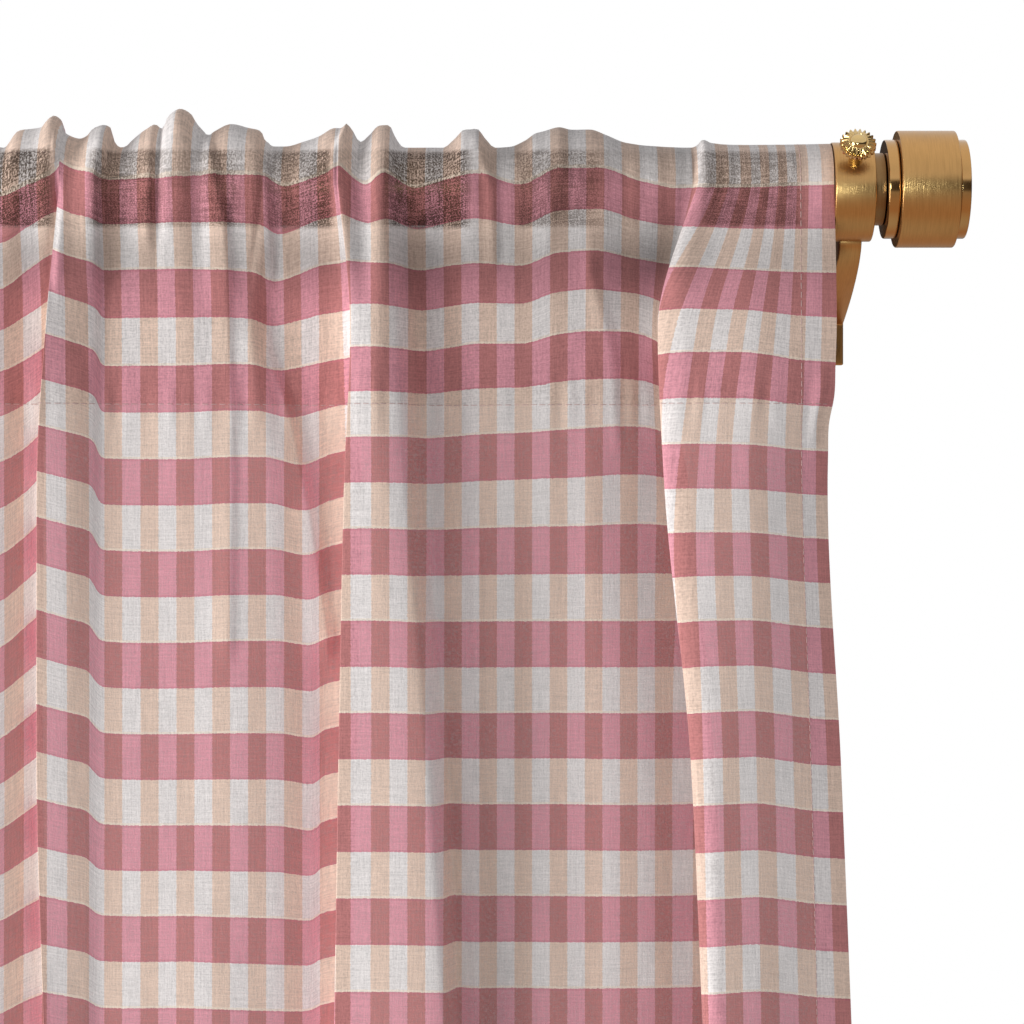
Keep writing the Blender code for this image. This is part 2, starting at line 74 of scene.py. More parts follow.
def grid_faces(rows, columns, wrap_rows=False, wrap_columns=False):
    """Four-sided faces between neighbouring points of a rows by columns grid, joined round
    where a direction wraps."""
    r, c = np.meshgrid(
        np.arange(rows if wrap_rows else rows - 1),
        np.arange(columns if wrap_columns else columns - 1), indexing="ij",
    )
    r_next = (r + 1) % rows
    c_next = (c + 1) % columns
    corners = [r * columns + c, r_next * columns + c, r_next * columns + c_next,
               r * columns + c_next]
    return np.stack(corners, axis=-1).reshape(-1, 4)


def soft_corners(corners, radius, steps=5):
    """A line through corner points where each inner corner is a quadratic curve that starts
    and ends `radius` from it, or nearer on a short side."""
    points = np.array(corners, float)
    line = [points[:1]]
    t = np.linspace(0.0, 1.0, steps + 1)[:, None]
    for before, corner, after in zip(points[:-2], points[1:-1], points[2:]):
        back, on = before - corner, after - corner
        back *= min(radius / np.linalg.norm(back), 0.45)
        on *= min(radius / np.linalg.norm(on), 0.45)
        line.append(corner + (1 - t) ** 2 * back + t ** 2 * on)
    line.append(points[-1:])
    return np.concatenate(line)


def turned(profile, sides):
    """A (distance along X, radius) profile carried round the X axis: y and z are the radius
    times the cosine and sine of the angle."""
    profile = np.asarray(profile, float)
    angle = np.linspace(0.0, 2.0 * math.pi, sides, endpoint=False)[None, :]
    along = np.repeat(profile[:, :1], sides, axis=1)
    radius = profile[:, 1:]
    return np.stack([along, radius * np.cos(angle), radius * np.sin(angle)], axis=-1)


def piece(name, points, faces, material, slot, closed=True):
    """A smooth-shaded object from points in millimetres, riding on the body. A closed shape
    has its doubled pole points merged and its faces turned outwards."""
    mesh = bpy.data.meshes.new(name)
    mesh.from_pydata((np.asarray(points).reshape(-1, 3) * MM).tolist(), [], faces)
    item = bpy.data.objects.new(name, mesh)
    bpy.context.scene.collection.objects.link(item)
    if closed:
        edit = bmesh.new()
        edit.from_mesh(mesh)
        bmesh.ops.remove_doubles(edit, verts=edit.verts, dist=1e-7)
        bmesh.ops.recalc_face_normals(edit, faces=edit.faces)
        edit.to_mesh(mesh)
        edit.free()
    mesh.shade_smooth()
    mesh.materials.append(material)
    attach(item, "root")
    return item


def add_node(tree, kind, settings=None, **inputs):
    """A shader node with its settings, and its sockets set to a value or joined to a socket.
    A socket's name is written with _ for a space, or as in0, in1 for its number."""
    node = tree.nodes.new(kind)
    for key, value in (settings or {}).items():
        setattr(node, key, value)
    for key, value in inputs.items():
        socket = node.inputs[int(key[2:])] if key[:2] == "in" and key[2:].isdigit() \
            else node.inputs[key.replace("_", " ")]
        if isinstance(value, bpy.types.NodeSocket):
            tree.links.new(value, socket)
        else:
            socket.default_value = value
    return node


def maths(tree, operation, *values, clamp=False):
    """The result of one Math node."""
    settings = {"operation": operation, "use_clamp": clamp}
    inputs = {"in%d" % k: value for k, value in enumerate(values)}
    return add_node(tree, "ShaderNodeMath", settings, **inputs).outputs[0]


def blend_colour(tree, amount, first, second, mode="MIX"):
    """The colour output of a Mix node between two colours."""
    node = tree.nodes.new("ShaderNodeMix")
    node.data_type = "RGBA"
    node.blend_type = mode
    node.clamp_factor = True
    for socket, value in ((node.inputs[0], amount), (node.inputs[6], first), (node.inputs[7], second)):
        if isinstance(value, bpy.types.NodeSocket):
            tree.links.new(value, socket)
        else:
            socket.default_value = value
    return node.outputs[2]


def new_material(name):
    """A material with a Principled shader, as (material, its node tree, the shader)."""
    material = bpy.data.materials.new(name)
    material.use_nodes = True
    return material, material.node_tree, material.node_tree.nodes["Principled BSDF"]


def toned(tree, colour, tone):
    """A colour times one grey value."""
    grey = add_node(tree, "ShaderNodeCombineColor", Red=tone, Green=tone, Blue=tone).outputs[0]
    return blend_colour(tree, 1.0, colour, grey, "MULTIPLY")


def add_relief(tree, shader, strength, distance, height):
    """Let a height raise the shader's surface by a bump."""
    bump = add_node(tree, "ShaderNodeBump", Strength=strength, Distance=distance, Height=height)
    tree.links.new(bump.outputs["Normal"], shader.inputs["Normal"])


def new_group(name, inputs, outputs):
    """An empty shader node group with named sockets, as (group, input node, output node)."""
    group = bpy.data.node_groups.new(name, "ShaderNodeTree")
    for label, kind, value in inputs:
        socket = group.interface.new_socket(label, in_out="INPUT", socket_type=kind)
        if value is not None:
            socket.default_value = value
    for label, kind in outputs:
        group.interface.new_socket(label, in_out="OUTPUT", socket_type=kind)
    return group, group.nodes.new("NodeGroupInput"), group.nodes.new("NodeGroupOutput")


def brushing_group():
    """Fine scratches left by a brush that turned round the X axis: noise squeezed thin along
    X and long the other ways, with a broad faint cloud of wear. Gives height and wear."""
    group, given, result = new_group(
        "brushing", [("Fineness", "NodeSocketFloat", 2600.0)],
        [("Scratches", "NodeSocketFloat"), ("Wear", "NodeSocketFloat")],
    )
    place = add_node(group, "ShaderNodeTexCoord").outputs["Object"]
    squeeze = add_node(
        group, "ShaderNodeMapping", Vector=place, Scale=(1.0, 0.045, 0.045)
    ).outputs[0]
    fine = add_node(
        group, "ShaderNodeTexNoise", Vector=squeeze, Scale=given.outputs["Fineness"],
        Detail=3.0, Roughness=0.65,
    ).outputs["Fac"]
    broad = add_node(
        group, "ShaderNodeTexNoise", Vector=place, Scale=90.0, Detail=4.0, Roughness=0.6
    ).outputs["Fac"]
    group.links.new(fine, result.inputs["Scratches"])
    group.links.new(broad, result.inputs["Wear"])
    return group


def brass(name, colour, roughness, scratch_depth, colour_change, brushing):
    """Lacquered brass: metal whose roughness, tone and relief follow the brushing."""
    material, tree, shader = new_material(name)
    marks = add_node(tree, "ShaderNodeGroup", {"node_tree": brushing})
    scratches, wear = marks.outputs["Scratches"], marks.outputs["Wear"]
    tone = maths(tree, "MULTIPLY_ADD", scratches, colour_change, 1.0 - 0.5 * colour_change)
    tone = maths(tree, "MULTIPLY", tone, maths(tree, "MULTIPLY_ADD", wear, 0.16, 0.92))
    tree.links.new(toned(tree, (*colour, 1.0), tone), shader.inputs["Base Color"])
    rough = maths(tree, "MULTIPLY_ADD", wear, 0.12, roughness - 0.06)
    rough = maths(tree, "MULTIPLY_ADD", scratches, 0.10, maths(tree, "SUBTRACT", rough, 0.05))
    tree.links.new(rough, shader.inputs["Roughness"])
    shader.inputs["Metallic"].default_value = 1.0
    add_relief(tree, shader, 1.0, scratch_depth, scratches)
    return material


brushing = brushing_group()
brushed_brass = brass("brushed_brass", BRASS, 0.33, 0.00005, 0.5, brushing)
polished_brass = brass("polished_brass", BRASS, 0.16, 0.000006, 0.12, brushing)
pale_brass = brass("pale_brass", BRASS_PALE, 0.12, 0.000003, 0.06, brushing)


def ring_points(centre_x):
    """A tube round the rod with softened rims. Its outside is set RING_LOW lower than its
    bore, by the share of the wall's thickness that a point lies out from the bore."""
    half = RING_WIDE / 2
    corners = [(0.0, RING_BORE), (-half, RING_BORE), (-half, RING_RADIUS), (half, RING_RADIUS),
               (half, RING_BORE), (0.01, RING_BORE)]
    points = turned(soft_corners(corners, RING_EDGE), 128)
    radius = np.linalg.norm(points[..., 1:], axis=-1)
    share = (radius - RING_BORE) / (RING_RADIUS - RING_BORE)
    points[..., 2] -= RING_LOW * share
    points[..., 1] -= ROD_OUT
    points[..., 0] += centre_x
    return points


def arm_side():
    """The arm and plate seen from the side, as (y, z). The front end is an arc inside the
    ring's wall, and the underside falls as a power of its distance behind the rod."""
    plate_front = -PLATE_THICK
    foot = -(RING_RADIUS + RING_LOW)
    wall_middle = 0.5 * (RING_BORE + RING_RADIUS)
    start = math.asin((ARM_HIGH + RING_LOW) / wall_middle)
    angle = np.linspace(start, -0.5 * math.pi, 14)
    arc = np.column_stack(
        [-ROD_OUT + wall_middle * np.cos(angle), -RING_LOW + wall_middle * np.sin(angle)]
    )
    share = np.linspace(0.0, 1.0, 25)[1:] ** ARM_CROWDING
    under = np.column_stack(
        [-ROD_OUT + (ROD_OUT + plate_front) * share, foot - ARM_FALL * share ** ARM_CURVE]
    )
    top, bottom = PLATE_ENDS
    return np.concatenate([
        [(0.0, top), (plate_front, top), (plate_front, ARM_HIGH)], arc,
        [(-ROD_OUT, foot - ARM_SINK)], under, [(plate_front, bottom), (0.0, bottom)],
    ])


def bar(centre_x):
    """The arm's side outline as a flat bar ARM_WIDE thick, as (points, faces)."""
    side = arm_side()
    count = len(side)
    points = np.concatenate([
        np.column_stack([np.full(count, centre_x + half), side])
        for half in (-ARM_WIDE / 2, ARM_WIDE / 2)
    ])
    rim = [(k, k + count, (k + 1) % count + count, (k + 1) % count) for k in range(count)]
    return points, [tuple(range(count)), tuple(range(2 * count - 1, count - 1, -1))] + rim


def drill(item, radius, centre, length):
    """Cut a round hole along Y through a piece, by a Boolean that is then applied."""
    outline = [(-length, 0.0), (-length, radius), (length, radius), (length, 0.0)]
    points = turned(outline, DRILL_SIDES)[..., [1, 0, 2]] + np.array(centre)
    tool = piece("drill", points, grid_faces(*points.shape[:2], wrap_columns=True).tolist(),
                 brushed_brass, "brushed_brass")
    cut = item.modifiers.new("hole", "BOOLEAN")
    cut.object = tool
    cut.solver = "EXACT"
    shape = bpy.data.meshes.new_from_object(
        item.evaluated_get(bpy.context.evaluated_depsgraph_get())
    )
    item.modifiers.clear()
    item.data = shape
    bpy.data.objects.remove(tool, do_unlink=True)


for side, centre_x in BRACKETS.items():
    arm = piece("bracket_arm_" + side, *bar(centre_x), brushed_brass, "brushed_brass")
    soften = arm.modifiers.new("soft edges", "BEVEL")
    soften.width = ARM_SOFT_EDGE * MM
    soften.segments = 3
    soften.angle_limit = math.radians(40.0)
    for height in WALL_HOLES:
        drill(arm, WALL_HOLE_RADIUS, (centre_x, 0.0, height), DRILL_REACH)
    arm.data.shade_smooth()
    arm.data.set_sharp_from_angle(angle=math.radians(32.0))
    ring = ring_points(centre_x)
    collar = piece("bracket_ring_" + side, ring,
                   grid_faces(*ring.shape[:2], True, True).tolist(), brushed_brass, "brushed_brass")
    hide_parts("bracket_" + side)
    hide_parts("bracket_" + side)


# Rod. A one-inch brass tube, brushed as the brackets are, that shows only between the ring and
# the finial and darkly through the gathered cloth. Its brass is darker than the brackets' as
# painted shade. It is slid through both rings.
ROD_ENDS = (-552.2, 11.2)
ROD_WALL = 1.5
BRASS_PAINTED_SHADE = (0.25, 0.145, 0.062)

inner = ROD_RADIUS - ROD_WALL
tube = soft_corners(
    [(0.0, inner), (ROD_ENDS[0], inner), (ROD_ENDS[0], ROD_RADIUS), (ROD_ENDS[1], ROD_RADIUS),
     (ROD_ENDS[1], inner), (0.01, inner)], 0.3,
)
rod_points = turned(tube, 128) + np.array([0.0, -ROD_OUT, 0.0])
# A darker copy of the brushed brass: painted shade for the shade the rod lies in.
rod_brass_painted_shade = brass("rod_brass_painted_shade", BRASS_PAINTED_SHADE, 0.38, 0.00005, 0.4, brushing)
rod = piece("rod_tube", rod_points, grid_faces(*rod_points.shape[:2], True, True).tolist(),
            rod_brass_painted_shade, "brushed_brass")
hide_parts("rod")


# Curtain. One panel of semi-sheer plain-weave voile, woven in bands and stripes, with narrow
# side hems and a turned-down top edge sewn into a pocket that gathers on the rod. It is a thin
# sheet on the solid's folds: columns run down the folds and rows along the bands.
FLAT_WIDE = 711.0
FLAT_DROP = 1602.0
STRIPE = 6.23
BAND = 16.4
FIRST_BAND = 14.8
TOP_PATTERN = FIRST_BAND - BAND
HEADING = 15.5
SEAM_HEIGHT = -76.0
CLOTH_OFF_ROD = 14.4
GATHER = 0.45
GATHER_BACK = 0.3
FOLD_HEIGHTS = (0.0, -50.0, -103.0, -201.0, -300.0)
LIFT_BANDS = (1, 2, 3, 4, 6, 8, 10)

# Folds from right to left. cells is the number of mesh columns to the next row; x is the
# fold's place along the rod and ahead how far it stands before the rod's axis, each at
# FOLD_HEIGHTS; lift is how much higher each of LIFT_BANDS hangs than on flat cloth.
FOLDS = [
    # name, cells, x, ahead, lift
    ("right edge", 8, (-7.4, -6.2, -8.5, -3.7, 0.2), (11.5, 4, 2.5, 3),
     (-0.7, 1.6, 3.4, 5.2, 8.6, 9.4, 9.6)),
    ("right hem row", 14, (-19.0, -18.7, -17.9, -14.6, -12.3), (14, 7.5, 6, 7),
     (-1.0, 1.7, 4.0, 5.6, 9.3, 10.4, 10.8)),
    ("panel crown", 12, (-38.5, -39.8, -38.4, -36.0, -34.0), (17, 13.5, 12.5, 14.5),
     (-1.7, 2.4, 6.6, 7.4, 11.8, 13.6, 13.9)),
    ("panel shoulder", 10, (-50.0, -58.0, -57.5, -49.8, -47.5), (17, 14.5, 15, 17),
     (-1.8, 3.2, 6.6, 7.6, 11.6, 13.2, 13.4)),
    ("panel fold", 8, (-55.2, -68.7, -66.4, -57.1, -52.7), (13, 11, 11, 12),
     (-1.8, 3.3, 5.9, 7.4, 10.8, 12.4, 12.6)),
    ("under panel fold", 8, (-56.7, -66.0, -57.0, -47.5, -43.0), (2.5, -6, -9.5, -9),
     (-1.8, 4.6, 9.0, 10.0, 10.8, 11.6, 12.0)),
    ("centre right", 10, (-62.0, -73.8, -72.6, -63.0, -59.5), (1, -4, -7.5, -7),
     (-1.9, 6.0, 13.6, 14.0, 10.9, 11.2, 11.8)),
    ("centre slope", 12, (-75.0, -80.5, -81.4, -74.4, -72.0), (2, -2.5, -5.5, -5),
     (0.6, 7.4, 14.6, 14.2, 10.8, 11.2, 11.9)),
    ("centre rise", 12, (-88.9, -92.1, -93.8, -88.5, -87.0), (4.5, -0.5, -4.2, -3.5),
     (5.0, 9.6, 14.6, 13.4, 10.9, 11.4, 12.0)),
    ("centre crown", 12, (-102.8, -103.5, -104.3, -102.6, -101.5), (5, -0.5, -4.6, -3.5),
     (4.5, 8.8, 13.4, 12.7, 10.9, 11.6, 12.0)),
    ("centre fall", 12, (-116.6, -116.6, -116.6, -116.6, -116.0), (2.5, -2.5, -5.2, -4.5),
     (-0.6, 4.6, 10.4, 11.9, 10.8, 11.5, 12.0)),
    ("crease", 8, (-131.2, -131.3, -130.6, -129.2, -129.5), (-1, -4.6, -5.0, -4.5),
     (3.0, 5.6, 10.6, 11.4, 10.7, 11.5, 12.0)),
    ("recess slope", 8, (-142.0, -139.5, -138.5, -135.5, -133.5), (-3, -5.8, -5.2, -4.4),
     (1.2, 5.0, 9.6, 10.8, 10.6, 11.6, 12.1)),
    ("recess", 8, (-153.1, -151.0, -148.8, -141.8, -137.5), (-4.5, -6.5, -5.5, -4.6),
     (-1.8, 3.4, 8.1, 10.1, 10.6, 11.8, 12.3)),
    ("pleat right", 8, (-163.1, -159.8, -156.9, -149.0, -142.5), (12, 11, 9.5, 10),
     (2.8, 4.6, 8.2, 10.1, 11.0, 12.2, 12.8)),
    ("pleat crest", 8, (-170.3, -167.3, -167.4, -166.0, -163.0), (15, 13, 11, 12),
     (-0.8, 4.9, 8.7, 10.2, 11.6, 12.7, 13.4)),
    ("pleat fold", 6, (-179.1, -175.7, -177.9, -180.0, -181.5), (14, 12.5, 11, 12),
     (4.8, 5.5, 8.5, 10.0, 11.5, 12.7, 13.4)),
    ("under pleat fold", 6, (-180.8, -174.4, -172.6, -174.5, -176.0), (5, -3, -5, -4.5),
     (4.2, 5.6, 6.4, 7.4, 8.0, 8.5, 9.0)),
    ("left trough", 12, (-187.0, -184.4, -183.5, -185.4, -187.0), (-1, -4.5, -4, -3.5),
     (2.0, 5.0, 4.4, 4.4, 5.0, 5.6, 6.2)),
    ("slant crease", 12, (-198.6, -203.5, -193.5, -190.8, -192.5), (-1, -2.5, -2, -2),
     (-1.2, -0.6, 1.1, 0.6, 2.5, 2.6, 4.3)),
    ("slant slope", 14, (-206.0, -211.5, -206.0, -202.5, -204.0), (4, 3, 2, 2),
     (2.0, 2.2, 2.9, 3.2, 4.1, 4.6, 5.0)),
    ("small crease", 14, (-219.0, -219.5, -218.4, -217.7, -219.0), (5.5, 4.5, 4.5, 5),
     (2.4, 2.8, 3.0, 3.2, 4.2, 5.0, 6.0)),
    ("left crown", 12, (-234.3, -235.4, -235.5, -235.5, -237.0), (8, 6.5, 5.5, 6.5),
     (1.6, 3.1, 2.4, 2.4, 3.6, 5.2, 6.9)),
    ("left fall", 12, (-246.6, -247.8, -248.0, -248.0, -250.0), (8, 7, 6.5, 7.5),
     (1.1, 3.0, 2.3, 2.4, 3.6, 5.2, 6.9)),
    ("ridge foot", 6, (-261.0, -261.5, -262.2, -262.4, -263.0), (8, 8, 8, 8.5),
     (1.1, 2.7, 2.2, 2.7, 4.3, 5.9, 7.4)),
    ("ridge step", 6, (-265.0, -265.5, -266.6, -268.4, -268.6), (11, 10.5, 10, 11),
     (2.4, 4.9, 7.6, 9.2, 10.4, 10.9, 10.5)),
    ("ridge slope", 8, (-272.0, -273.4, -274.2, -274.6, -274.8), (15, 14, 12, 13),
     (4.0, 7.0, 10.6, 11.7, 12.5, 12.6, 12.0)),
    ("ridge", 6, (-276.5, -281.0, -284.4, -284.8, -282.0), (18, 16, 14, 15),
     (6.2, 9.4, 12.9, 14.0, 15.6, 15.3, 13.9)),
    ("under ridge", 6, (-276.4, -280.2, -283.2, -283.6, -280.8), (11, 9, 8, 8),
     (4.8, 8.6, 11.2, 12.6, 14.2, 14.0, 12.8)),
    ("ridge back", 8, (-279.2, -282.6, -285.7, -286.2, -283.4), (6, 5, 4, 5),
     (2.2, 7.7, 9.2, 11.0, 12.7, 12.6, 11.6)),
    ("left slope", 8, (-288.5, -289.5, -290.5, -290.5, -290.5), (7, 6.5, 6, 7),
     (-1.5, 2.4, 4.5, 6.0, 8.8, 9.4, 9.2)),
    ("left end", 10, (-297.0, -300.5, -301.0, -301.5, -302.0), (11, 10.5, 10, 11),
     (-4.6, -4.4, -0.2, 0.9, 1.2, 3.3, 4.6)),
]

# Plain folds that finish the panel to its left edge, as deep at every height.
PLAIN_FOLDS = [
    # name, cells, x, ahead, top fold's height
    ("ridge b", 8, -314.0, 15.0, 20.5),
    ("trough b", 8, -331.0, -3.0, 15.5),
    ("ridge c", 8, -349.0, 17.0, 21.5),
    ("trough c", 8, -369.0, -4.0, 15.0),
    ("ridge d", 8, -387.0, 16.0, 19.5),
    ("trough d", 8, -407.0, -4.0, 15.5),
    ("ridge e", 8, -426.0, 18.0, 22.0),
    ("trough e", 8, -447.0, -3.0, 15.0),
    ("ridge f", 8, -466.0, 16.0, 20.0),
    ("trough f", 8, -485.0, -3.0, 15.5),
    ("ridge g", 8, -503.0, 15.0, 20.5),
    ("left hem row", 6, -521.0, 6.0, 16.0),
    ("left edge", 0, -532.4, 4.0, 15.5),
]
RIDGE_LIFT = 0.55
PLAIN_LIFT = 2.0

# The top fold's line: x along the rod and height over the rod's axis.
TOP_LINE = [
    (-6.2, 16.0), (-21.3, 15.7), (-39.0, 15.5), (-49.2, 14.9), (-52.0, 16.0), (-56.6, 14.6),
    (-70.7, 15.2), (-79.5, 16.4), (-86.6, 19.2), (-91.9, 21.0), (-102.5, 20.6), (-110.6, 19.8),
    (-114.8, 17.1), (-120.1, 14.9), (-125.4, 14.6), (-128.9, 17.8), (-132.4, 20.6),
    (-136.0, 21.0), (-139.5, 17.8), (-143.7, 14.6), (-157.5, 14.6), (-159.6, 16.8),
    (-162.4, 20.3), (-166.0, 20.5), (-169.5, 17.8), (-173.0, 15.3), (-175.5, 18.5),
    (-178.3, 21.3), (-181.8, 21.5), (-187.1, 18.7), (-192.4, 16.8), (-199.5, 15.0),
    (-206.2, 15.2), (-207.9, 19.2), (-211.8, 21.0), (-218.2, 22.9), (-224.2, 20.3),
    (-227.3, 18.2), (-229.4, 19.6), (-233.0, 24.9), (-236.5, 27.0), (-240.0, 25.2),
    (-242.8, 19.6), (-245.3, 21.7), (-248.8, 20.5), (-252.4, 17.8), (-255.9, 14.8),
    (-259.4, 14.6), (-261.2, 20.3), (-263.7, 21.5), (-266.5, 21.0), (-268.9, 18.2),
    (-271.8, 16.9), (-276.7, 18.9), (-278.5, 24.5), (-280.6, 25.9), (-282.4, 24.9),
    (-284.8, 21.9), (-292.9, 20.6), (-298.2, 14.6),
]

# Flat distance from the right hem at the right panel's folds, at FOLD_HEIGHTS: the gathers
# draw more cloth into this panel at the rod than it has where it hangs free.
PANEL_FLAT = [
    (0.0, 0.0, 0.0, 0.0, 0.0), (16.0, 13.5, 12.0, 12.0, 12.0), (53.4, 38.4, 32.1, 32.4, 32.0),
    (69.9, 58.2, 51.9, 46.9, 46.0), (75.0, 68.0, 61.0, 54.0, 53.0),
]
CENTRE_FLAT = 24.24
LEFT_FLAT = 30.3
RIDGE_HIDDEN = 2.6
STEP_STRETCH = 1.2


# Pulled and pressed creases: how far the cloth stands out on the line, how many millimetres it
# takes to ease back at the line's left and right, and the line as (x, height) down the cloth.
CREASES = [
    # out, left, right, line
    (2.2, 1.3, 8.0, [(-277.6, 12.0), (-275.0, -5.4), (-277.0, -30.0)]),
    (2.2, 7.0, 1.3, [(-258.4, 18.2), (-264.0, 4.4), (-264.3, -12.3), (-264.4, -30.0)]),
    (1.6, 4.0, 1.4, [(-243.0, 19.0), (-245.0, 4.0), (-246.0, -14.0)]),
    (2.2, 8.0, 1.3, [(-232.3, 23.1), (-226.1, 15.5), (-223.0, 5.0), (-219.5, -12.3), (-218.7, -30.0)]),
    (1.7, 7.0, 1.3, [(-206.0, 15.5), (-204.4, -12.3), (-204.0, -28.0)]),
    (2.2, 1.3, 7.0, [(-177.4, 19.6), (-181.2, 10.3), (-181.6, 3.3), (-178.8, -12.3), (-177.6, -28.0)]),
    (2.2, 7.0, 1.4, [(-162.8, 19.0), (-164.2, -1.9), (-163.9, -12.3), (-162.4, -30.0)]),
    (1.5, 2.2, 1.5, [(-131.2, 15.5), (-128.8, 6.8), (-126.3, -0.5), (-126.0, -22.0)]),
    (1.3, 4.0, 3.0, [(-103.0, 19.0), (-104.5, 0.0), (-106.0, -16.0)]),
    (1.8, 1.3, 8.0, [(-52.3, 12.0), (-55.1, -1.9), (-59.3, -15.8), (-63.8, -31.4)]),
    (2.3, 8.0, 1.3, [(-206.1, -55.2), (-197.3, -81.5), (-190.3, -116.6), (-184.3, -158.7)]),
    (1.1, 5.0, 1.4, [(-219.1, -39.4), (-217.7, -102.6), (-218.4, -158.7)]),
    (0.7, 3.0, 1.4, [(-131.3, -130.6), (-131.0, -293.5), (-131.0, -520.0)]),
    (0.8, 2.5, 2.0, [(-92.0, -30.0), (-84.0, -58.0), (-82.5, -84.0)]),
    (0.9, 1.8, 1.8, [(-11.5, -71.0), (-13.5, -84.0)]),
]
CREASE_FADE = 7.0

# The doubled seam's end pulls the side edge in below it, by its deepest.
TACK_HEIGHT = -78.0
TACK_PULL = 1.3
TACK_REACH = 9.0

# Rows of the mesh: even ones down to FINE_END along the pattern, then ever longer ones to the
# hem; rows over the front of the rod; and rows over its back and down to the seam. The first
# front row stays FIRST_BELOW under the top fold.
FIRST_BELOW = 4.0
FINE_END = 330.0
FINE_STEP = 2.7
LONG_ROWS = 42
OVER_ROWS = 12
BACK_ROWS = 10
DOWN_ROWS = 14

# The lifts of the lowest of LIFT_BANDS hold down to EVEN_END along the pattern. The hem keeps
# a share of them, above a small lift of its own.
EVEN_END = 700.0
HEM_LIFT = 2.0
HEM_LIFT_SHARE = 0.5

# The pocket's back: cloth used over the back of the rod, how its fall to the seam is curved,
# and at the seam how far along it looks for the deepest cloth, eases and stays behind it.
BACK_ARC = 21.0
BACK_CURVE = 1.4
SEAM_REACH = 6.0
SEAM_EASE = 3.0
SEAM_BEHIND = 1.0


# The small relief: how far it stands out and its wavelength, in the puckers at the pocket
# seam, the gathers over the rod and the slow waves of the free cloth, and where each is felt,
# as a middle height and a spread.
PUCKER_OUT, PUCKER_LONG, PUCKER_SPREAD = 0.6, 9.0, 9.0
GATHER_OUT, GATHER_LONG, GATHER_MIDDLE, GATHER_SPREAD = 0.35, 8.0, 2.0, 22.0
SLOW_OUT, SLOW_LONG, SLOW_DOWN, SLOW_SLANT = 0.7, 52.0, 210.0, 0.12
SLOW_START, SLOW_SPREAD = -95.0, 18.0


def crease_relief(x, height):
    """How far all creases lift each point: a bell curve of the distance from each line, with
    its own width on either side, that fades past the line's ends."""
    relief = np.zeros_like(x)
    for out, left, right, line in CREASES:
        line_x, line_height = np.array(line[::-1]).T
        across = x - np.interp(height, line_height, line_x)
        width = np.where(across < 0.0, left, right)
        beyond = np.maximum(height - line_height[-1], line_height[0] - height).clip(0.0)
        relief += out * np.exp(-((across / width) ** 2) - (beyond / CREASE_FADE) ** 2)
    return relief


def smooth_read(places, values, wanted):
    """Read tables of values at rising places by cubic pieces that never run past the values:
    the slope is zero at a peak or valley, and else a weighted harmonic mean of its two
    neighbours. values has one column for each column of wanted."""
    places = np.asarray(places, float)
    values = np.asarray(values, float)
    step = np.diff(places)[:, None]
    secant = np.diff(values, axis=0) / step
    before, after = secant[:-1], secant[1:]
    weight_before = 2.0 * step[1:] + step[:-1]
    weight_after = step[1:] + 2.0 * step[:-1]
    same = before * after > 0.0
    mean = (weight_before + weight_after) / (
        weight_before / np.where(same, before, 1.0) + weight_after / np.where(same, after, 1.0)
    )
    slopes = np.concatenate([secant[:1], np.where(same, mean, 0.0), secant[-1:]])
    wanted = np.clip(wanted, places[0], places[-1])
    k = np.clip(np.searchsorted(places, wanted, side="right") - 1, 0, len(places) - 2)
    column = np.arange(values.shape[1])[None, :]
    width = places[k + 1] - places[k]
    t = (wanted - places[k]) / width
    return (
        (1 + 2 * t) * (1 - t) ** 2 * values[k, column]
        + t * (1 - t) ** 2 * width * slopes[k, column]
        + t * t * (3 - 2 * t) * values[k + 1, column]
        - t * t * (1 - t) * width * slopes[k + 1, column]
    )


def fold_table():
    """Every fold's numbers as rows: x at five heights, ahead at four (pocket down), lift at
    seven bands, and the flat distance at five heights."""
    names = [row[0] for row in FOLDS]
    pleat, ridge = names.index("pleat fold"), names.index("ridge")
    rows = []
    for number, (name, cells, x, ahead, lift) in enumerate(FOLDS):
        start = CENTRE_FLAT if number <= pleat else LEFT_FLAT
        start += RIDGE_HIDDEN if number > ridge else 0.0
        start += STEP_STRETCH if name == "ridge step" else 0.0
        flat = tuple(start - value for value in x)
        if number < len(PANEL_FLAT):
            flat = PANEL_FLAT[number]
        rows.append(x + ahead + lift + flat)
    table = np.array(rows, dtype=float)
    for under in (k for k, name in enumerate(names) if name.startswith("under")):
        table[under, -5:] = 0.5 * (table[under - 1, -5:] + table[under + 1, -5:])
    last = table[-1]
    plain = []
    run = 0.0
    previous_x, previous_ahead = last[3], last[7]
    for name, cells, x, ahead, top in PLAIN_FOLDS:
        run += math.hypot(x - previous_x, ahead - previous_ahead)
        previous_x, previous_ahead = x, ahead
        lift = RIDGE_LIFT * max(ahead, 0.0) + PLAIN_LIFT
        plain.append([x] * 5 + [ahead] * 4 + [lift] * 7 + [run] * 5)
    plain = np.array(plain)
    start = last[-5:]
    plain[:, -5:] = start + plain[:, -5:] / run * (FLAT_WIDE - start)
    return np.concatenate([table, plain])


def column_places(cells):
    """Where each mesh column lies among the folds: fold k is at k, and its cells divide the
    way to the next one evenly."""
    return np.concatenate([k + np.arange(max(n, 1)) / max(n, 1) for k, n in enumerate(cells)])


def waves(along, seed, wavelength):
    """A sum of five sines with close wavelengths and fixed phases, from -1 to 1."""
    rng = np.random.default_rng(seed)
    total = 0.0
    for share in (0.62, 0.81, 1.0, 1.27, 1.66):
        total = total + np.sin(2 * math.pi * along / (wavelength * share) + rng.uniform(0, 6.28))
    return total / 5.0


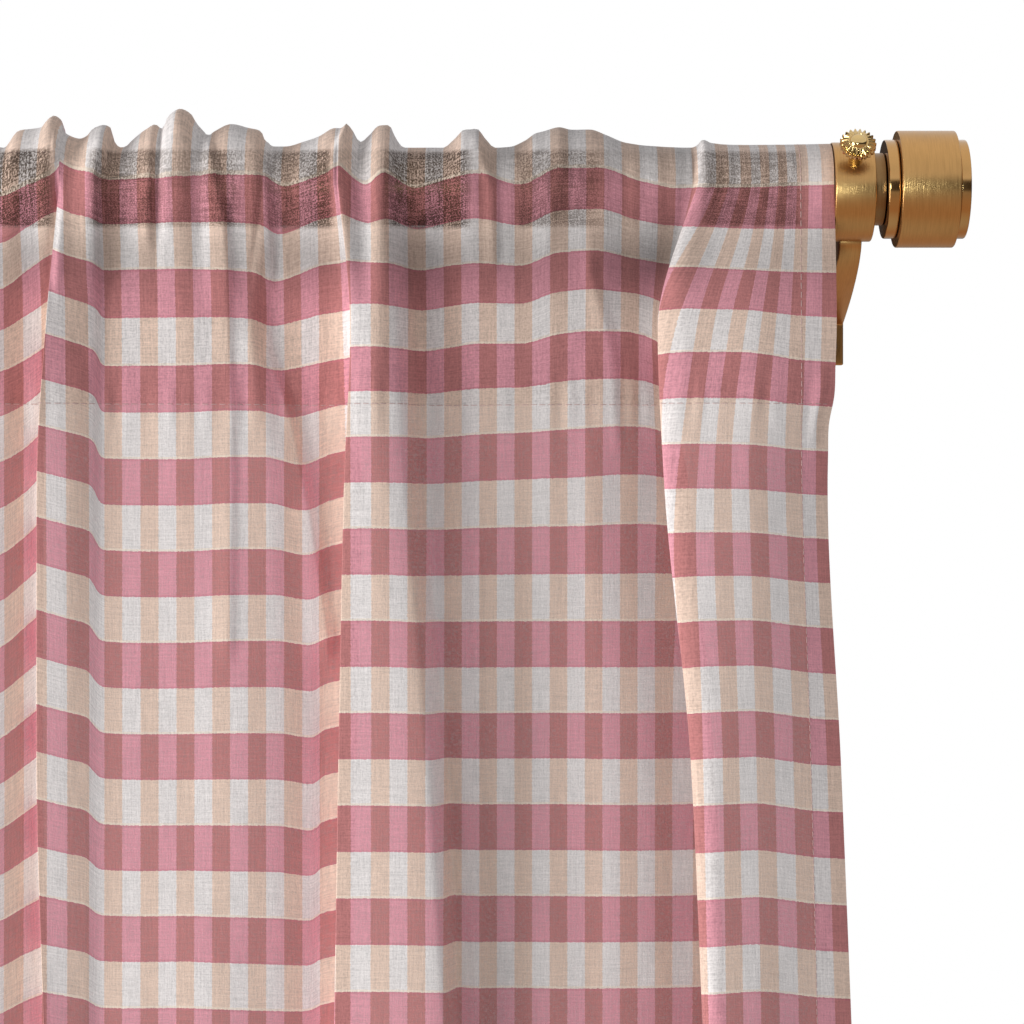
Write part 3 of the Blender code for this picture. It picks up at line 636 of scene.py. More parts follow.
def front_of_cloth(x_at, ahead_at, lift_at, flat_at, top):
    """The rows from the top fold over the front of the rod and down to the hem, as (x, ahead,
    height, flat, pattern). A row keeps one distance along the pattern, and its height at each
    fold comes from the lifts. Over the rod the cloth follows a quarter of an ellipse, as deep
    as it stands off and as high as its top, with rows evenly spaced in angle."""
    pattern = np.concatenate([
        np.arange(FIRST_BAND, FINE_END, FINE_STEP), np.geomspace(FINE_END, FLAT_DROP, LONG_ROWS)
    ])
    bands = FIRST_BAND + 2 * BAND * (np.array(LIFT_BANDS) - 1.0)
    knots = np.concatenate([bands, [EVEN_END, FLAT_DROP]])
    last = lift_at[:, -1]
    lifts = np.column_stack([lift_at, last, HEM_LIFT + HEM_LIFT_SHARE * last])
    wanted = np.repeat(pattern[:, None], len(top), axis=1)
    height = HEADING - wanted + smooth_read(knots, lifts.T, wanted)
    height[0] = np.minimum(height[0], top - FIRST_BELOW)

    turn = np.linspace(1.0, 0.0, OVER_ROWS + 1)[:-1, None]
    start = np.arcsin(np.clip(height[0] / top, -0.99, 0.99))[None, :]
    over = top * np.sin(start + (0.5 * math.pi - start) * turn)
    over_pattern = TOP_PATTERN + (FIRST_BAND - TOP_PATTERN) * (1.0 - turn[:, 0])
    height = np.concatenate([over, height])
    levels = -np.array(FOLD_HEIGHTS)
    x, ahead, flat = (smooth_read(levels, table.T, -height) for table in (x_at, ahead_at, flat_at))
    ahead *= np.sqrt(1.0 - np.clip(height / top, 0.0, 1.0) ** 2)
    return x, ahead, height, flat, np.concatenate([over_pattern, pattern])


def back_of_pocket(x_at, ahead_at, flat_at, top):
    """The rows from the seam up behind the rod and over it, up to the top fold, in the same
    form as front_of_cloth. Over the rod they follow a quarter of an ellipse. Lower down they
    ease from there to the seam, just behind the deepest cloth of the front near each column."""
    off_rod = CLOTH_OFF_ROD + GATHER_BACK * (top - HEADING).clip(0.0)
    turn = np.linspace(0.0, 1.0, BACK_ROWS + 1)[1:, None]
    angle = 0.5 * math.pi * turn
    down = np.linspace(0.0, 1.0, DOWN_ROWS + 1)[1:, None]
    levels = -np.array(FOLD_HEIGHTS)
    at_seam = np.full((1, len(top)), -SEAM_HEIGHT)
    seam_x, seam_ahead = (smooth_read(levels, table.T, at_seam) for table in (x_at, ahead_at))
    apart = seam_x.T - seam_x
    deepest = np.where(np.abs(apart) < SEAM_REACH, seam_ahead, np.inf).min(axis=1)
    ease = np.exp(-(apart / SEAM_EASE) ** 2)
    seam_ahead = (ease * deepest).sum(axis=1) / ease.sum(axis=1) - SEAM_BEHIND
    share = down ** BACK_CURVE
    x = np.concatenate([
        np.repeat(x_at[None, :, 0], BACK_ROWS, axis=0), x_at[:, 0] * (1 - share) + seam_x * share
    ])
    ahead = np.concatenate(
        [-off_rod * np.sin(angle), -off_rod * (1 - share) + seam_ahead * share]
    )
    height = np.concatenate([top * np.cos(angle), SEAM_HEIGHT * down * np.ones_like(at_seam)])
    flat = np.repeat(flat_at[None, :, 0], len(height), axis=0)
    pattern = TOP_PATTERN - np.concatenate([BACK_ARC * turn, BACK_ARC - SEAM_HEIGHT * down])[:, 0]
    return x[::-1], ahead[::-1], height[::-1], flat, pattern[::-1]


def small_relief(flat, along, height):
    """How far the cloth ripples forward: puckers beside the pocket seam, small gathers over
    the rod and slow waves where it hangs free, each as waves along the cloth in a soft band."""
    at_seam = np.exp(-((height - SEAM_HEIGHT) / PUCKER_SPREAD) ** 2)
    at_rod = np.exp(-((height - GATHER_MIDDLE) / GATHER_SPREAD) ** 2)
    free = 1.0 / (1.0 + np.exp((height - SLOW_START) / SLOW_SPREAD))
    slow = waves(flat + SLOW_SLANT * along, 7, SLOW_LONG) * waves(along, 8, SLOW_DOWN)
    return (
        PUCKER_OUT * at_seam * waves(flat, 3, PUCKER_LONG)
        + GATHER_OUT * at_rod * waves(flat, 5, GATHER_LONG) + SLOW_OUT * free * slow
    )


def curtain_surface():
    """The sheet as a grid of points, rows from the pocket's seam over the rod to the hem, with
    its flat coordinates across and along and the cells of each fold. Creases stand out from
    the cloth, which over the rod is the direction away from its axis."""
    cells = [row[1] for row in FOLDS + PLAIN_FOLDS]
    places = column_places(cells)
    table = fold_table()
    read = smooth_read(np.arange(len(table)), table, np.repeat(places[:, None], table.shape[1], 1))
    x_at, ahead_at, lift_at, flat_at = read[:, :5], read[:, 5:9], read[:, 9:16], read[:, 16:]
    line = sorted(TOP_LINE + [(row[2], row[4]) for row in PLAIN_FOLDS])
    top = smooth_read([p[0] for p in line], [[p[1]] for p in line], x_at[:, :1])[:, 0]
    off_rod = CLOTH_OFF_ROD + GATHER * (top - HEADING).clip(0.0)
    ahead_at = np.column_stack([off_rod, ahead_at])

    behind = back_of_pocket(x_at, ahead_at, flat_at, top)
    before = front_of_cloth(x_at, ahead_at, lift_at, flat_at, top)
    x, ahead, height, flat, pattern = (np.concatenate(pair) for pair in zip(behind, before))
    along = np.repeat(pattern[:, None], len(places), axis=1)
    front = (np.arange(len(pattern)) >= BACK_ROWS + DOWN_ROWS)[:, None]
    ahead = ahead + front * small_relief(flat, along, height)
    relief = front * crease_relief(x, height)
    rise_angle = np.arctan2(height.clip(0.0), ahead.clip(0.1))
    ahead = ahead + relief * np.cos(rise_angle)
    height = height + relief * np.sin(rise_angle)
    below = (height - TACK_HEIGHT) / TACK_REACH
    x = x + TACK_PULL * below * np.exp(-(below ** 2) - (flat / TACK_REACH) ** 2)
    return np.stack([x, -ROD_OUT - ahead, height], axis=-1), flat, along, cells


# How much longer streaks and single yarns change the cloth's tone. The share that is
# see-through everywhere, and the share added in its gaps, where it hangs free and where it is
# drawn tight on the rod. The share of this that a hem's two layers close.
YARN_STREAKS = 0.38
YARN_GRAIN = 0.34
OPEN_FREE = (0.01, 0.06)
OPEN_TIGHT = (0.10, 0.22)
HEM_CLOSES = 0.9

# Where the cloth is tight, how dark its gaps and all of it are made by painted shade, which
# stands for the shaded rod seen through it, and how far that takes green and blue down further.
# The heights where the rod shows: their middle, half of their spread, and how softly they end.
# How much a full mark of painted shade darkens the cloth.
GAP_PAINTED_SHADE = 0.80
ROD_PAINTED_SHADE = 0.22
ROD_SHADE_TINT = (-0.12, -0.20)
ROD_SHOWS = (-1.2, 13.3)
ROD_SHOWS_EASE = 0.8
PAINTED_SHADE_DARKENS = 0.33

# How far the check's edges wander with the yarns, and how finely.
WANDER = 0.55
WANDER_FINE = 1.4

# The check across and down: where its first stripe starts, the share of a repeat that each
# thin line takes, and how strongly each is coloured. PATTERN_LEAD keeps the phase positive.
STRIPE_START = 0.53
CRIMSON_LINE = 0.022
CRIMSON_MIX = 0.35
CREAM_LINE = 0.025
CREAM_MIX = 0.6
PATTERN_LEAD = 16 * 2 * BAND

CLOTH_COLOURS = {
    "white": (0.80, 0.752, 0.732),
    "peach": (0.77, 0.580, 0.470),
    "pink": (0.72, 0.32, 0.375),
    "brown red": (0.51, 0.20, 0.193),
    "crimson": (0.56, 0.16, 0.22),
    "warm cream": (0.88, 0.76, 0.62),
}


def check_group():
    """The woven check. Bands run across and repeat every two BANDs down the cloth; stripes
    run down and repeat every two STRIPEs across it. A thin crimson line edges each dark band
    and a thin cream line closes each pale one."""
    group, given, result = new_group(
        "check", [("Flat", "NodeSocketVector", None)], [("Colour", "NodeSocketColor")]
    )
    parts = add_node(group, "ShaderNodeSeparateXYZ", Vector=given.outputs["Flat"])
    colours = {name: (*colour, 1.0) for name, colour in CLOTH_COLOURS.items()}

    def repeat(distance, shift, length):
        moved = maths(group, "ADD", distance, shift)
        return maths(group, "FRACT", maths(group, "DIVIDE", moved, length))

    stripe = repeat(parts.outputs["X"], STRIPE_START, 2 * STRIPE)
    band = repeat(parts.outputs["Y"], PATTERN_LEAD - FIRST_BAND, 2 * BAND)
    dark_stripe = maths(group, "LESS_THAN", stripe, 0.5)
    dark_band = maths(group, "LESS_THAN", band, 0.5)
    pale = blend_colour(group, dark_stripe, colours["white"], colours["peach"])
    dark = blend_colour(group, dark_stripe, colours["pink"], colours["brown red"])
    from_middle = maths(group, "ABSOLUTE", maths(group, "SUBTRACT", band, 0.25))
    edge = maths(group, "GREATER_THAN", from_middle, 0.25 - CRIMSON_LINE)
    dark = blend_colour(group, maths(group, "MULTIPLY", edge, CRIMSON_MIX), dark, colours["crimson"])
    close = maths(group, "GREATER_THAN", band, 1.0 - CREAM_LINE)
    pale = blend_colour(group, maths(group, "MULTIPLY", close, CREAM_MIX), pale, colours["warm cream"])
    colour = blend_colour(group, dark_band, pale, dark)
    group.links.new(colour, result.inputs["Colour"])
    return group


def weave_group():
    """Uneven yarns: noise drawn out along each of the two yarn directions, over a finer one
    for single threads. Where both directions are thin at once there is a gap. Gives the
    cloth's height, its tone, its gaps, and the finer mesh of gaps that shows on the rod."""
    group, given, result = new_group(
        "weave", [("Flat", "NodeSocketVector", None)],
        [("Height", "NodeSocketFloat"), ("Tone", "NodeSocketFloat"), ("Gaps", "NodeSocketFloat"),
         ("Mesh", "NodeSocketFloat")],
    )

    def drawn_noise(across, down, detail):
        place = add_node(group, "ShaderNodeMapping", Vector=given.outputs["Flat"],
                         Scale=(across, down, 1.0)).outputs[0]
        return add_node(group, "ShaderNodeTexNoise", Vector=place, Scale=1.0, Detail=detail,
                        Roughness=0.55).outputs["Fac"]

    weft = drawn_noise(0.10, 1.5, 1.0)
    warp = drawn_noise(1.5, 0.08, 1.0)
    thin_weft = drawn_noise(0.75, 2.3, 1.0)
    thin_warp = drawn_noise(2.3, 0.75, 1.0)
    streaks = maths(group, "ADD", weft, warp)
    threads = maths(group, "ADD", thin_weft, thin_warp)
    group.links.new(maths(group, "ADD", threads, streaks), result.inputs["Height"])
    tone = maths(group, "MULTIPLY_ADD", maths(group, "SUBTRACT", streaks, 1.0), YARN_STREAKS, 1.0)
    tone = maths(group, "MULTIPLY_ADD", maths(group, "SUBTRACT", threads, 1.0), YARN_GRAIN, tone)
    group.links.new(tone, result.inputs["Tone"])
    thin = maths(group, "MULTIPLY_ADD", streaks, 0.35, threads)
    gaps = add_node(group, "ShaderNodeMapRange", Value=thin, in1=1.42, in2=1.12, in3=0.0, in4=1.0)
    group.links.new(gaps.outputs[0], result.inputs["Gaps"])
    small_weft = drawn_noise(1.5, 3.4, 0.0)
    small_warp = drawn_noise(3.4, 1.5, 0.0)
    slack = drawn_noise(0.10, 0.13, 1.0)
    small = maths(group, "ADD", small_weft, small_warp)
    small = maths(group, "MULTIPLY_ADD", streaks, 0.6, small)
    small = maths(group, "MULTIPLY_ADD", slack, 0.5, small)
    mesh = add_node(group, "ShaderNodeMapRange", Value=small, in1=2.10, in2=1.68, in3=0.0, in4=1.0)
    group.links.new(mesh.outputs[0], result.inputs["Mesh"])
    return group


def voile_material(check, weave):
    """The cloth: check colours over the weave, see-through in the gaps. Three marks on its
    points change it: hem, where two layers lie together, closes the gaps; tight, where it lies
    on the rod, opens them and darkens them with painted shade that stands for the shaded rod
    behind; and a mark of painted shade darkens the cloth recessed behind the pleats and deep
    between gathers."""
    material, tree, shader = new_material("check_voile")

    def mark(name):
        return add_node(tree, "ShaderNodeAttribute", {"attribute_name": name}).outputs["Fac"]

    flat = add_node(tree, "ShaderNodeUVMap", {"uv_map": "flat"}).outputs[0]
    flat = add_node(tree, "ShaderNodeMapping", Vector=flat, Scale=(1000.0, 1000.0, 1.0)).outputs[0]
    fine = (WANDER_FINE, WANDER_FINE, 1.0)
    sway = add_node(tree, "ShaderNodeMapping", Vector=flat, Scale=fine).outputs[0]
    sway = add_node(tree, "ShaderNodeTexNoise", Vector=sway, Scale=1.0, Detail=1.0).outputs["Color"]
    sway = add_node(tree, "ShaderNodeVectorMath", {"operation": "SUBTRACT"}, in0=sway,
                    in1=(0.5, 0.5, 0.5)).outputs[0]
    wandered = add_node(tree, "ShaderNodeVectorMath", {"operation": "MULTIPLY_ADD"}, in0=sway,
                        in1=(WANDER, WANDER, 0.0), in2=flat).outputs[0]
    colour = add_node(
        tree, "ShaderNodeGroup", {"node_tree": check}, Flat=wandered
    ).outputs["Colour"]
    threads = add_node(tree, "ShaderNodeGroup", {"node_tree": weave}, Flat=flat)

    place = add_node(tree, "ShaderNodeTexCoord").outputs["Object"]
    level = add_node(tree, "ShaderNodeSeparateXYZ", Vector=place).outputs["Z"]
    middle, spread = ROD_SHOWS
    from_rod = maths(tree, "ABSOLUTE", maths(tree, "SUBTRACT", level, middle * MM))
    on_rod = add_node(
        tree, "ShaderNodeMapRange", Value=from_rod, in1=(spread + ROD_SHOWS_EASE) * MM,
        in2=(spread - ROD_SHOWS_EASE) * MM, in3=0.0, in4=1.0,
    ).outputs[0]
    tight = maths(tree, "MULTIPLY", mark("tight"), on_rod)
    # Painted shade: where the cloth lies tight on the rod, its gaps and the rest of it are darkened
    # and browned to stand for the shaded rod seen through it.
    dark = maths(tree, "MULTIPLY_ADD", threads.outputs["Mesh"], GAP_PAINTED_SHADE - ROD_PAINTED_SHADE, ROD_PAINTED_SHADE)
    dark = maths(tree, "MULTIPLY", dark, tight)
    tone = maths(tree, "MULTIPLY", threads.outputs["Tone"], maths(tree, "SUBTRACT", 1.0, dark))
    # Painted shade: the mark of painted shade darkens the cloth's colour.
    tone = maths(tree, "MULTIPLY", tone, maths(tree, "MULTIPLY_ADD", mark("single"), -PAINTED_SHADE_DARKENS, 1.0))
    green, blue = (maths(tree, "MULTIPLY_ADD", dark, tint, 1.0) for tint in ROD_SHADE_TINT)
    rod_shade_colour = add_node(tree, "ShaderNodeCombineColor", Red=1.0, Green=green, Blue=blue).outputs[0]
    colour = blend_colour(tree, 1.0, colour, rod_shade_colour, "MULTIPLY")
    tree.links.new(toned(tree, colour, tone), shader.inputs["Base Color"])

    free_share = maths(tree, "MULTIPLY_ADD", threads.outputs["Gaps"], OPEN_FREE[1], OPEN_FREE[0])
    tight_share = maths(tree, "MULTIPLY_ADD", threads.outputs["Mesh"], OPEN_TIGHT[1], OPEN_TIGHT[0])
    open_share = add_node(tree, "ShaderNodeMix", in0=tight, in2=free_share, in3=tight_share)
    closed = maths(tree, "SUBTRACT", 1.0, maths(tree, "MULTIPLY", mark("hem"), HEM_CLOSES))
    open_share = maths(tree, "MULTIPLY", open_share.outputs[0], closed)
    cover = maths(tree, "SUBTRACT", 1.0, open_share, clamp=True)
    tree.links.new(cover, shader.inputs["Alpha"])
    add_relief(tree, shader, 0.35, 0.00015, threads.outputs["Height"])
    shader.inputs["Roughness"].default_value = 0.9
    shader.inputs["Specular IOR Level"].default_value = 0.2
    shader.inputs["Sheen Weight"].default_value = 0.15
    shader.inputs["Sheen Roughness"].default_value = 0.5
    return material


cloth_points, cloth_flat, cloth_along, fold_cells = curtain_surface()
voile = voile_material(check_group(), weave_group())
cloth_rows, cloth_columns = cloth_points.shape[:2]
cloth_faces = grid_faces(cloth_rows, cloth_columns)
curtain = piece("voile_panel", cloth_points, cloth_faces.tolist(), voile, "check_voile", closed=False)
layout = curtain.data.uv_layers.new(name="flat")
corner = np.empty(len(curtain.data.loops), dtype=np.int64)
curtain.data.loops.foreach_get("vertex_index", corner)
flat_metres = np.column_stack([cloth_flat.ravel(), cloth_along.ravel()]) * MM
layout.data.foreach_set("uv", flat_metres[corner].ravel())

# The bottom hem is turned up this deep, so the cloth is doubled below the row at its top,
# which its stitches follow.
HEM_DEEP = 50.0
HEM_ROW = FLAT_DROP - HEM_DEEP


def mark_cloth(name, values):
    """Keep a value for each of the cloth's points, for its material to read."""
    layer = curtain.data.attributes.new(name, "FLOAT", "POINT")
    layer.data.foreach_set("value", values.astype(np.float32).ravel())


in_side_hem = np.zeros(cloth_columns)
in_side_hem[:fold_cells[0] + 1] = 1.0
in_side_hem[-(fold_cells[-2] + 1):] = 1.0
mark_cloth("hem", np.maximum(in_side_hem[None, :], cloth_along > HEM_ROW))

# Where the cloth lies tight on the rod, from right to left along the rod, and how tightly. This
# opens its gaps and sets how much painted shade of the rod it takes.
TIGHT_ON_ROD = [
    (-17.0, 0.0), (-21.0, 0.7), (-50.0, 0.75), (-55.0, 0.15), (-84.0, 0.12), (-92.0, 0.6),
    (-116.0, 0.7), (-120.5, 0.1), (-133.0, 0.1), (-136.0, 1.0), (-160.0, 1.0),
    (-165.0, 0.2), (-180.5, 0.2), (-184.0, 1.0), (-193.0, 0.8), (-201.0, 0.75), (-206.0, 0.4),
    (-213.0, 0.35), (-217.0, 0.75), (-224.0, 0.7), (-229.0, 0.35), (-241.0, 0.4),
    (-246.0, 0.75), (-264.0, 0.75), (-267.0, 0.1), (-278.0, 0.1), (-281.0, 1.0),
    (-303.0, 1.0), (-308.0, 0.2), (-322.0, 0.9), (-340.0, 0.9), (-350.0, 0.2), (-362.0, 0.9),
    (-378.0, 0.9), (-388.0, 0.2), (-400.0, 0.9), (-415.0, 0.9), (-427.0, 0.2), (-440.0, 0.9),
    (-455.0, 0.9), (-466.0, 0.2), (-478.0, 0.9), (-492.0, 0.9), (-503.0, 0.3), (-512.0, 0.9),
    (-519.0, 0.9), (-522.0, 0.0),
]
mark_cloth("tight", np.interp(cloth_points[..., 0], *np.array(TIGHT_ON_ROD[::-1]).T))

# Painted shade on the one layer that lies recessed behind the pleats: how far it is darkened
# at each of these folds.
PAINTED_SHADE_AT_FOLDS = {"under panel fold": 1.0, "centre right": 0.95, "centre slope": 0.55, "centre rise": 0.3,
          "centre crown": 0.65, "centre fall": 0.9, "crease": 0.4}
fold_names = [row[0] for row in FOLDS + PLAIN_FOLDS]
at_folds = [PAINTED_SHADE_AT_FOLDS.get(name, 0.0) for name in fold_names]
recess_shade_share = np.interp(column_places(fold_cells), np.arange(len(fold_names)), at_folds)

# Painted shade just under the rod, where the gathers crowd: how far down and over what height,
# the least of it, and the shade added where a gather lies HOLLOW_DEEP or more behind the
# foremost cloth within HOLLOW_REACH, measured along the row at HOLLOW_ROW.
UNDER_ROD_SHADE_HEIGHT = -25.0
UNDER_ROD_SHADE_SPREAD = 13.0
UNDER_ROD_SHADE_LEAST = 0.6
HOLLOW_SHADE_ADDED = 0.7
HOLLOW_ROW = -45.0
HOLLOW_REACH = 24.0
HOLLOW_DEEP = 14.0

front = cloth_points[cloth_along[:, 0] > FIRST_BAND]
level_row = front[np.abs(front[..., 2].mean(axis=1) - HOLLOW_ROW).argmin()]
row_x, row_y = level_row[:, 0], level_row[:, 1]
near = np.abs(row_x[:, None] - row_x[None, :]) < HOLLOW_REACH
foremost = np.where(near, row_y[None, :], 0.0).min(axis=1)
hollow = np.clip((row_y - foremost) / HOLLOW_DEEP, 0.0, 1.0)
under_rod_shade = np.exp(-((cloth_points[..., 2] - UNDER_ROD_SHADE_HEIGHT) / UNDER_ROD_SHADE_SPREAD) ** 2)
# The mark of painted shade: for the recess behind the pleats, and for the crowded gathers under the
# rod.
mark_cloth("single", recess_shade_share + under_rod_shade * (UNDER_ROD_SHADE_LEAST + HOLLOW_SHADE_ADDED * hollow))
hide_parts("curtain")

STITCH_STEP = 3.1
STITCH_LONG = 2.5
THREAD_RADIUS = 0.13
THREAD_SIDES = 5
THREAD_COLOUR = (0.57, 0.40, 0.38)


def stitch_row(path):
    """Points of a row of stitches along a line through the cloth: at each step, rings of
    THREAD_SIDES points that swell and shrink along the line, so that each stitch is a pointed
    bead."""
    run = np.concatenate([[0.0], np.cumsum(np.linalg.norm(np.diff(path, axis=0), axis=1))])
    middle = np.arange(STITCH_STEP, run[-1] - STITCH_STEP, STITCH_STEP)

    def at(distance):
        return np.stack([np.interp(distance, run, path[:, k]) for k in range(3)], axis=-1)

    centre = at(middle)
    along = at(middle + 0.5 * STITCH_LONG) - at(middle - 0.5 * STITCH_LONG)
    along /= np.linalg.norm(along, axis=1)[:, None]
    side = np.cross(along, [0.0, -1.0, 0.0])
    side /= np.linalg.norm(side, axis=1)[:, None]
    out = np.cross(side, along)
    place = np.array([-0.5, -0.36, 0.36, 0.5]) * STITCH_LONG
    radius = np.array([0.0, 1.0, 1.0, 0.0]) * THREAD_RADIUS
    angle = np.linspace(0.0, 2.0 * math.pi, THREAD_SIDES, endpoint=False)
    ring = radius[:, None] * np.stack([np.cos(angle), np.sin(angle)])[:, None, :]
    return (centre[:, None, None] + along[:, None, None] * place[None, :, None, None]
            + out[:, None, None] * ring[0][None, ..., None]
            + side[:, None, None] * ring[1][None, ..., None])


def thread_material():
    """Cotton sewing thread: dull pink, matt and slightly uneven, with fuzz as relief."""
    material, tree, shader = new_material("sewing_thread")
    place = add_node(tree, "ShaderNodeTexCoord").outputs["Object"]
    fuzz = add_node(tree, "ShaderNodeTexNoise", Vector=place, Scale=1800.0, Detail=2.0).outputs["Fac"]
    tone = maths(tree, "MULTIPLY_ADD", fuzz, 0.35, 0.82)
    tree.links.new(toned(tree, (*THREAD_COLOUR, 1.0), tone), shader.inputs["Base Color"])
    add_relief(tree, shader, 0.6, 0.0001, fuzz)
    shader.inputs["Roughness"].default_value = 0.8
    return material


def line_at_height(sheet, height):
    """The line across a sheet at one height, from the two rows next to it in each column. The
    rows fall all the way."""
    column = np.arange(sheet.shape[1])
    under = (sheet[..., 2] > height).sum(axis=0)
    high, low = sheet[under - 1, column], sheet[under, column]
    share = (high[:, 2] - height) / (high[:, 2] - low[:, 2])
    return high + share[:, None] * (low - high)


over_top = int(cloth_points[:, 0, 2].argmax())
hem_row = int(np.abs(cloth_along[:, 0] - HEM_ROW).argmin())
SEWN = {
    "right_hem": cloth_points[over_top:, fold_cells[0]],
    "left_hem": cloth_points[over_top:, cloth_columns - 1 - fold_cells[-2]],
    "pocket_seam": line_at_height(cloth_points[over_top:], SEAM_HEIGHT),
    "pocket_back": cloth_points[0],
    "bottom_hem": cloth_points[hem_row],
}
thread = thread_material()
for name, path in SEWN.items():
    row = stitch_row(path)
    count, rings, sides = row.shape[:3]
    bead = grid_faces(rings, sides, wrap_columns=True)
    faces = (bead[None] + rings * sides * np.arange(count)[:, None, None]).reshape(-1, 4)
    piece("stitches_" + name, row, faces.tolist(), thread, "check_voile")


# Finials. Each end of the rod has a round brass finial in three turned parts, pushed on by a
# spigot: a thin polished collar, a brushed barrel and a thin polished end disc.
COLLAR_RADIUS = 17.35
COLLAR_LONG = 4.0
BARREL_RADIUS = 20.5
BARREL_LONG = 20.4
DISC_LONG = 3.6
SPIGOT_RADIUS = 10.9
SPIGOT_LONG = 18.0
SEAT = 0.3
RIM = 0.5

collar_end = SEAT + COLLAR_LONG
barrel_start = collar_end + SEAT
barrel_end = barrel_start + BARREL_LONG
disc_start = barrel_end + SEAT
disc_end = disc_start + DISC_LONG
FINIAL_PARTS = {
    "collar": ([(-SPIGOT_LONG, 0.0), (-SPIGOT_LONG, SPIGOT_RADIUS), (SEAT, SPIGOT_RADIUS),
                (SEAT, COLLAR_RADIUS), (collar_end, COLLAR_RADIUS), (collar_end, 0.0)],
               polished_brass, "polished_brass"),
    "barrel": ([(barrel_start, 0.0), (barrel_start, BARREL_RADIUS), (barrel_end, BARREL_RADIUS),
                (barrel_end, 0.0)], brushed_brass, "brushed_brass"),
    "disc": ([(disc_start, 0.0), (disc_start, COLLAR_RADIUS), (disc_end, COLLAR_RADIUS),
              (disc_end, 0.0)], polished_brass, "polished_brass"),
}
for side, end, direction in (("right", ROD_ENDS[1], 1.0), ("left", ROD_ENDS[0], -1.0)):
    for name, (corners, metal, finish) in FINIAL_PARTS.items():
        points = turned(soft_corners(corners, RIM, 6), 160) * np.array([direction, 1.0, 1.0])
        points += np.array([end, -ROD_OUT, 0.0])
        item = piece("finial_%s_%s_turned" % (name, side), points,
                     grid_faces(*points.shape[:2], False, True).tolist(), metal, finish)
        item.data.set_sharp_from_angle(angle=math.radians(50.0))
        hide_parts("finial_%s_%s" % (name, side))


# Thumbscrews. A small polished brass screw goes through each ring at the front and top to
# hold the rod. Its head is a disc with flutes round its rim and face and a domed boss.
SCREW_TILT = 31.0
SCREW_FLUTES = 22
FLUTE_DEEP = 0.55
FACE_FLUTE_DEEP = 0.9
FACE_FLUTE_START = 3.2
SHANK_RADIUS = 2.5
SHANK_START = 13.0
HEAD_RADIUS = 6.35
HEAD_BACK = 23.7
HEAD_FRONT = 25.5


def screw_points():
    """A turned screw whose rim and face are drawn in between flutes: the radius and the
    distance along the axis both fall by a rounded wave of the angle, most at the rim."""
    corners = [
        (SHANK_START, 0.0), (SHANK_START, SHANK_RADIUS), (HEAD_BACK, SHANK_RADIUS),
        (HEAD_BACK, HEAD_RADIUS - 0.5), (HEAD_BACK + 0.5, HEAD_RADIUS), (26.2, HEAD_RADIUS),
        (26.7, HEAD_RADIUS - 0.6),
        (27.35, 3.3), (27.1, 3.0), (27.7, 2.75), (28.3, 2.25), (28.75, 1.4), (28.95, 0.6),
        (29.0, 0.0),
    ]
    profile = soft_corners(corners, 0.35, 4)
    points = turned(profile, SCREW_FLUTES * 10)
    angle = np.linspace(0.0, 2.0 * math.pi, SCREW_FLUTES * 10, endpoint=False)[None, :]
    wave = (0.5 - 0.5 * np.cos(SCREW_FLUTES * angle)) ** 0.8
    along, radius = profile[:, :1], profile[:, 1:]
    reach = np.clip((radius - FACE_FLUTE_START) / (HEAD_RADIUS - FACE_FLUTE_START), 0.0, 1.0)
    reach = reach * (along > HEAD_BACK - 0.1)
    shrink = 1.0 - FLUTE_DEEP * reach * wave / np.maximum(radius, 1.0)
    points[..., 1:] *= shrink[..., None]
    points[..., 0] -= FACE_FLUTE_DEEP * reach ** 0.6 * wave * (along > HEAD_FRONT)
    return points


tilt = math.radians(SCREW_TILT)
aim = Vector((1.0, 0.0, 0.0)).rotation_difference(Vector((0.0, -math.cos(tilt), math.sin(tilt))))
for side, centre_x in BRACKETS.items():
    points = screw_points() @ np.array(aim.to_matrix()).T
    points += np.array([centre_x, -ROD_OUT, 0.0])
    screw = piece("thumbscrew_%s_fluted" % side, points,
                  grid_faces(*points.shape[:2], False, True).tolist(), pale_brass,
                  "polished_brass")
    screw.data.set_sharp_from_angle(angle=math.radians(38.0))
    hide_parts("thumbscrew_" + side)


# Camera, light and floor. The camera looks level at the cloth, left of the bracket. A broad
# soft lamp stands to the left, a low one fills the lower folds and a small one lights the
# brass. The surround is white behind the curtain and banded where the brass mirrors it.
CAMERA_AT = (-119.4, -1060.0, -113.8)
LENS = 99.67

camera_data = bpy.data.cameras.new("camera")
camera_data.lens = LENS
camera_data.sensor_width = 36.0
camera = bpy.data.objects.new("camera", camera_data)
camera.location = [value * MM for value in CAMERA_AT]
camera.rotation_euler = (math.radians(90.0), 0.0, 0.0)
bpy.context.scene.collection.objects.link(camera)
bpy.context.scene.camera = camera


def soft_lamp(name, place, target, size, power):
    """A square area lamp that faces a point."""
    data = bpy.data.lights.new(name, "AREA")
    data.size = size
    data.energy = power
    lamp = bpy.data.objects.new(name, data)
    lamp.location = place
    lamp.rotation_euler = (Vector(target) - Vector(place)).to_track_quat("-Z", "Y").to_euler()
    bpy.context.scene.collection.objects.link(lamp)
    return lamp


soft_lamp("key", (-1.86, -0.76, -0.25), (-0.15, -0.06, -0.2), 1.0, 31.5)
low = soft_lamp("low", (-0.9, -0.8, -0.75), (-0.28, -0.07, -0.32), 0.5, 2.5)
low.visible_glossy = False
glint = soft_lamp("glint", (-0.22, -1.03, -0.01), (0.02, -0.06, 0.0), 0.14, 3.6)
glint.data.color = (0.72, 0.92, 1.0)
glint.visible_diffuse = False

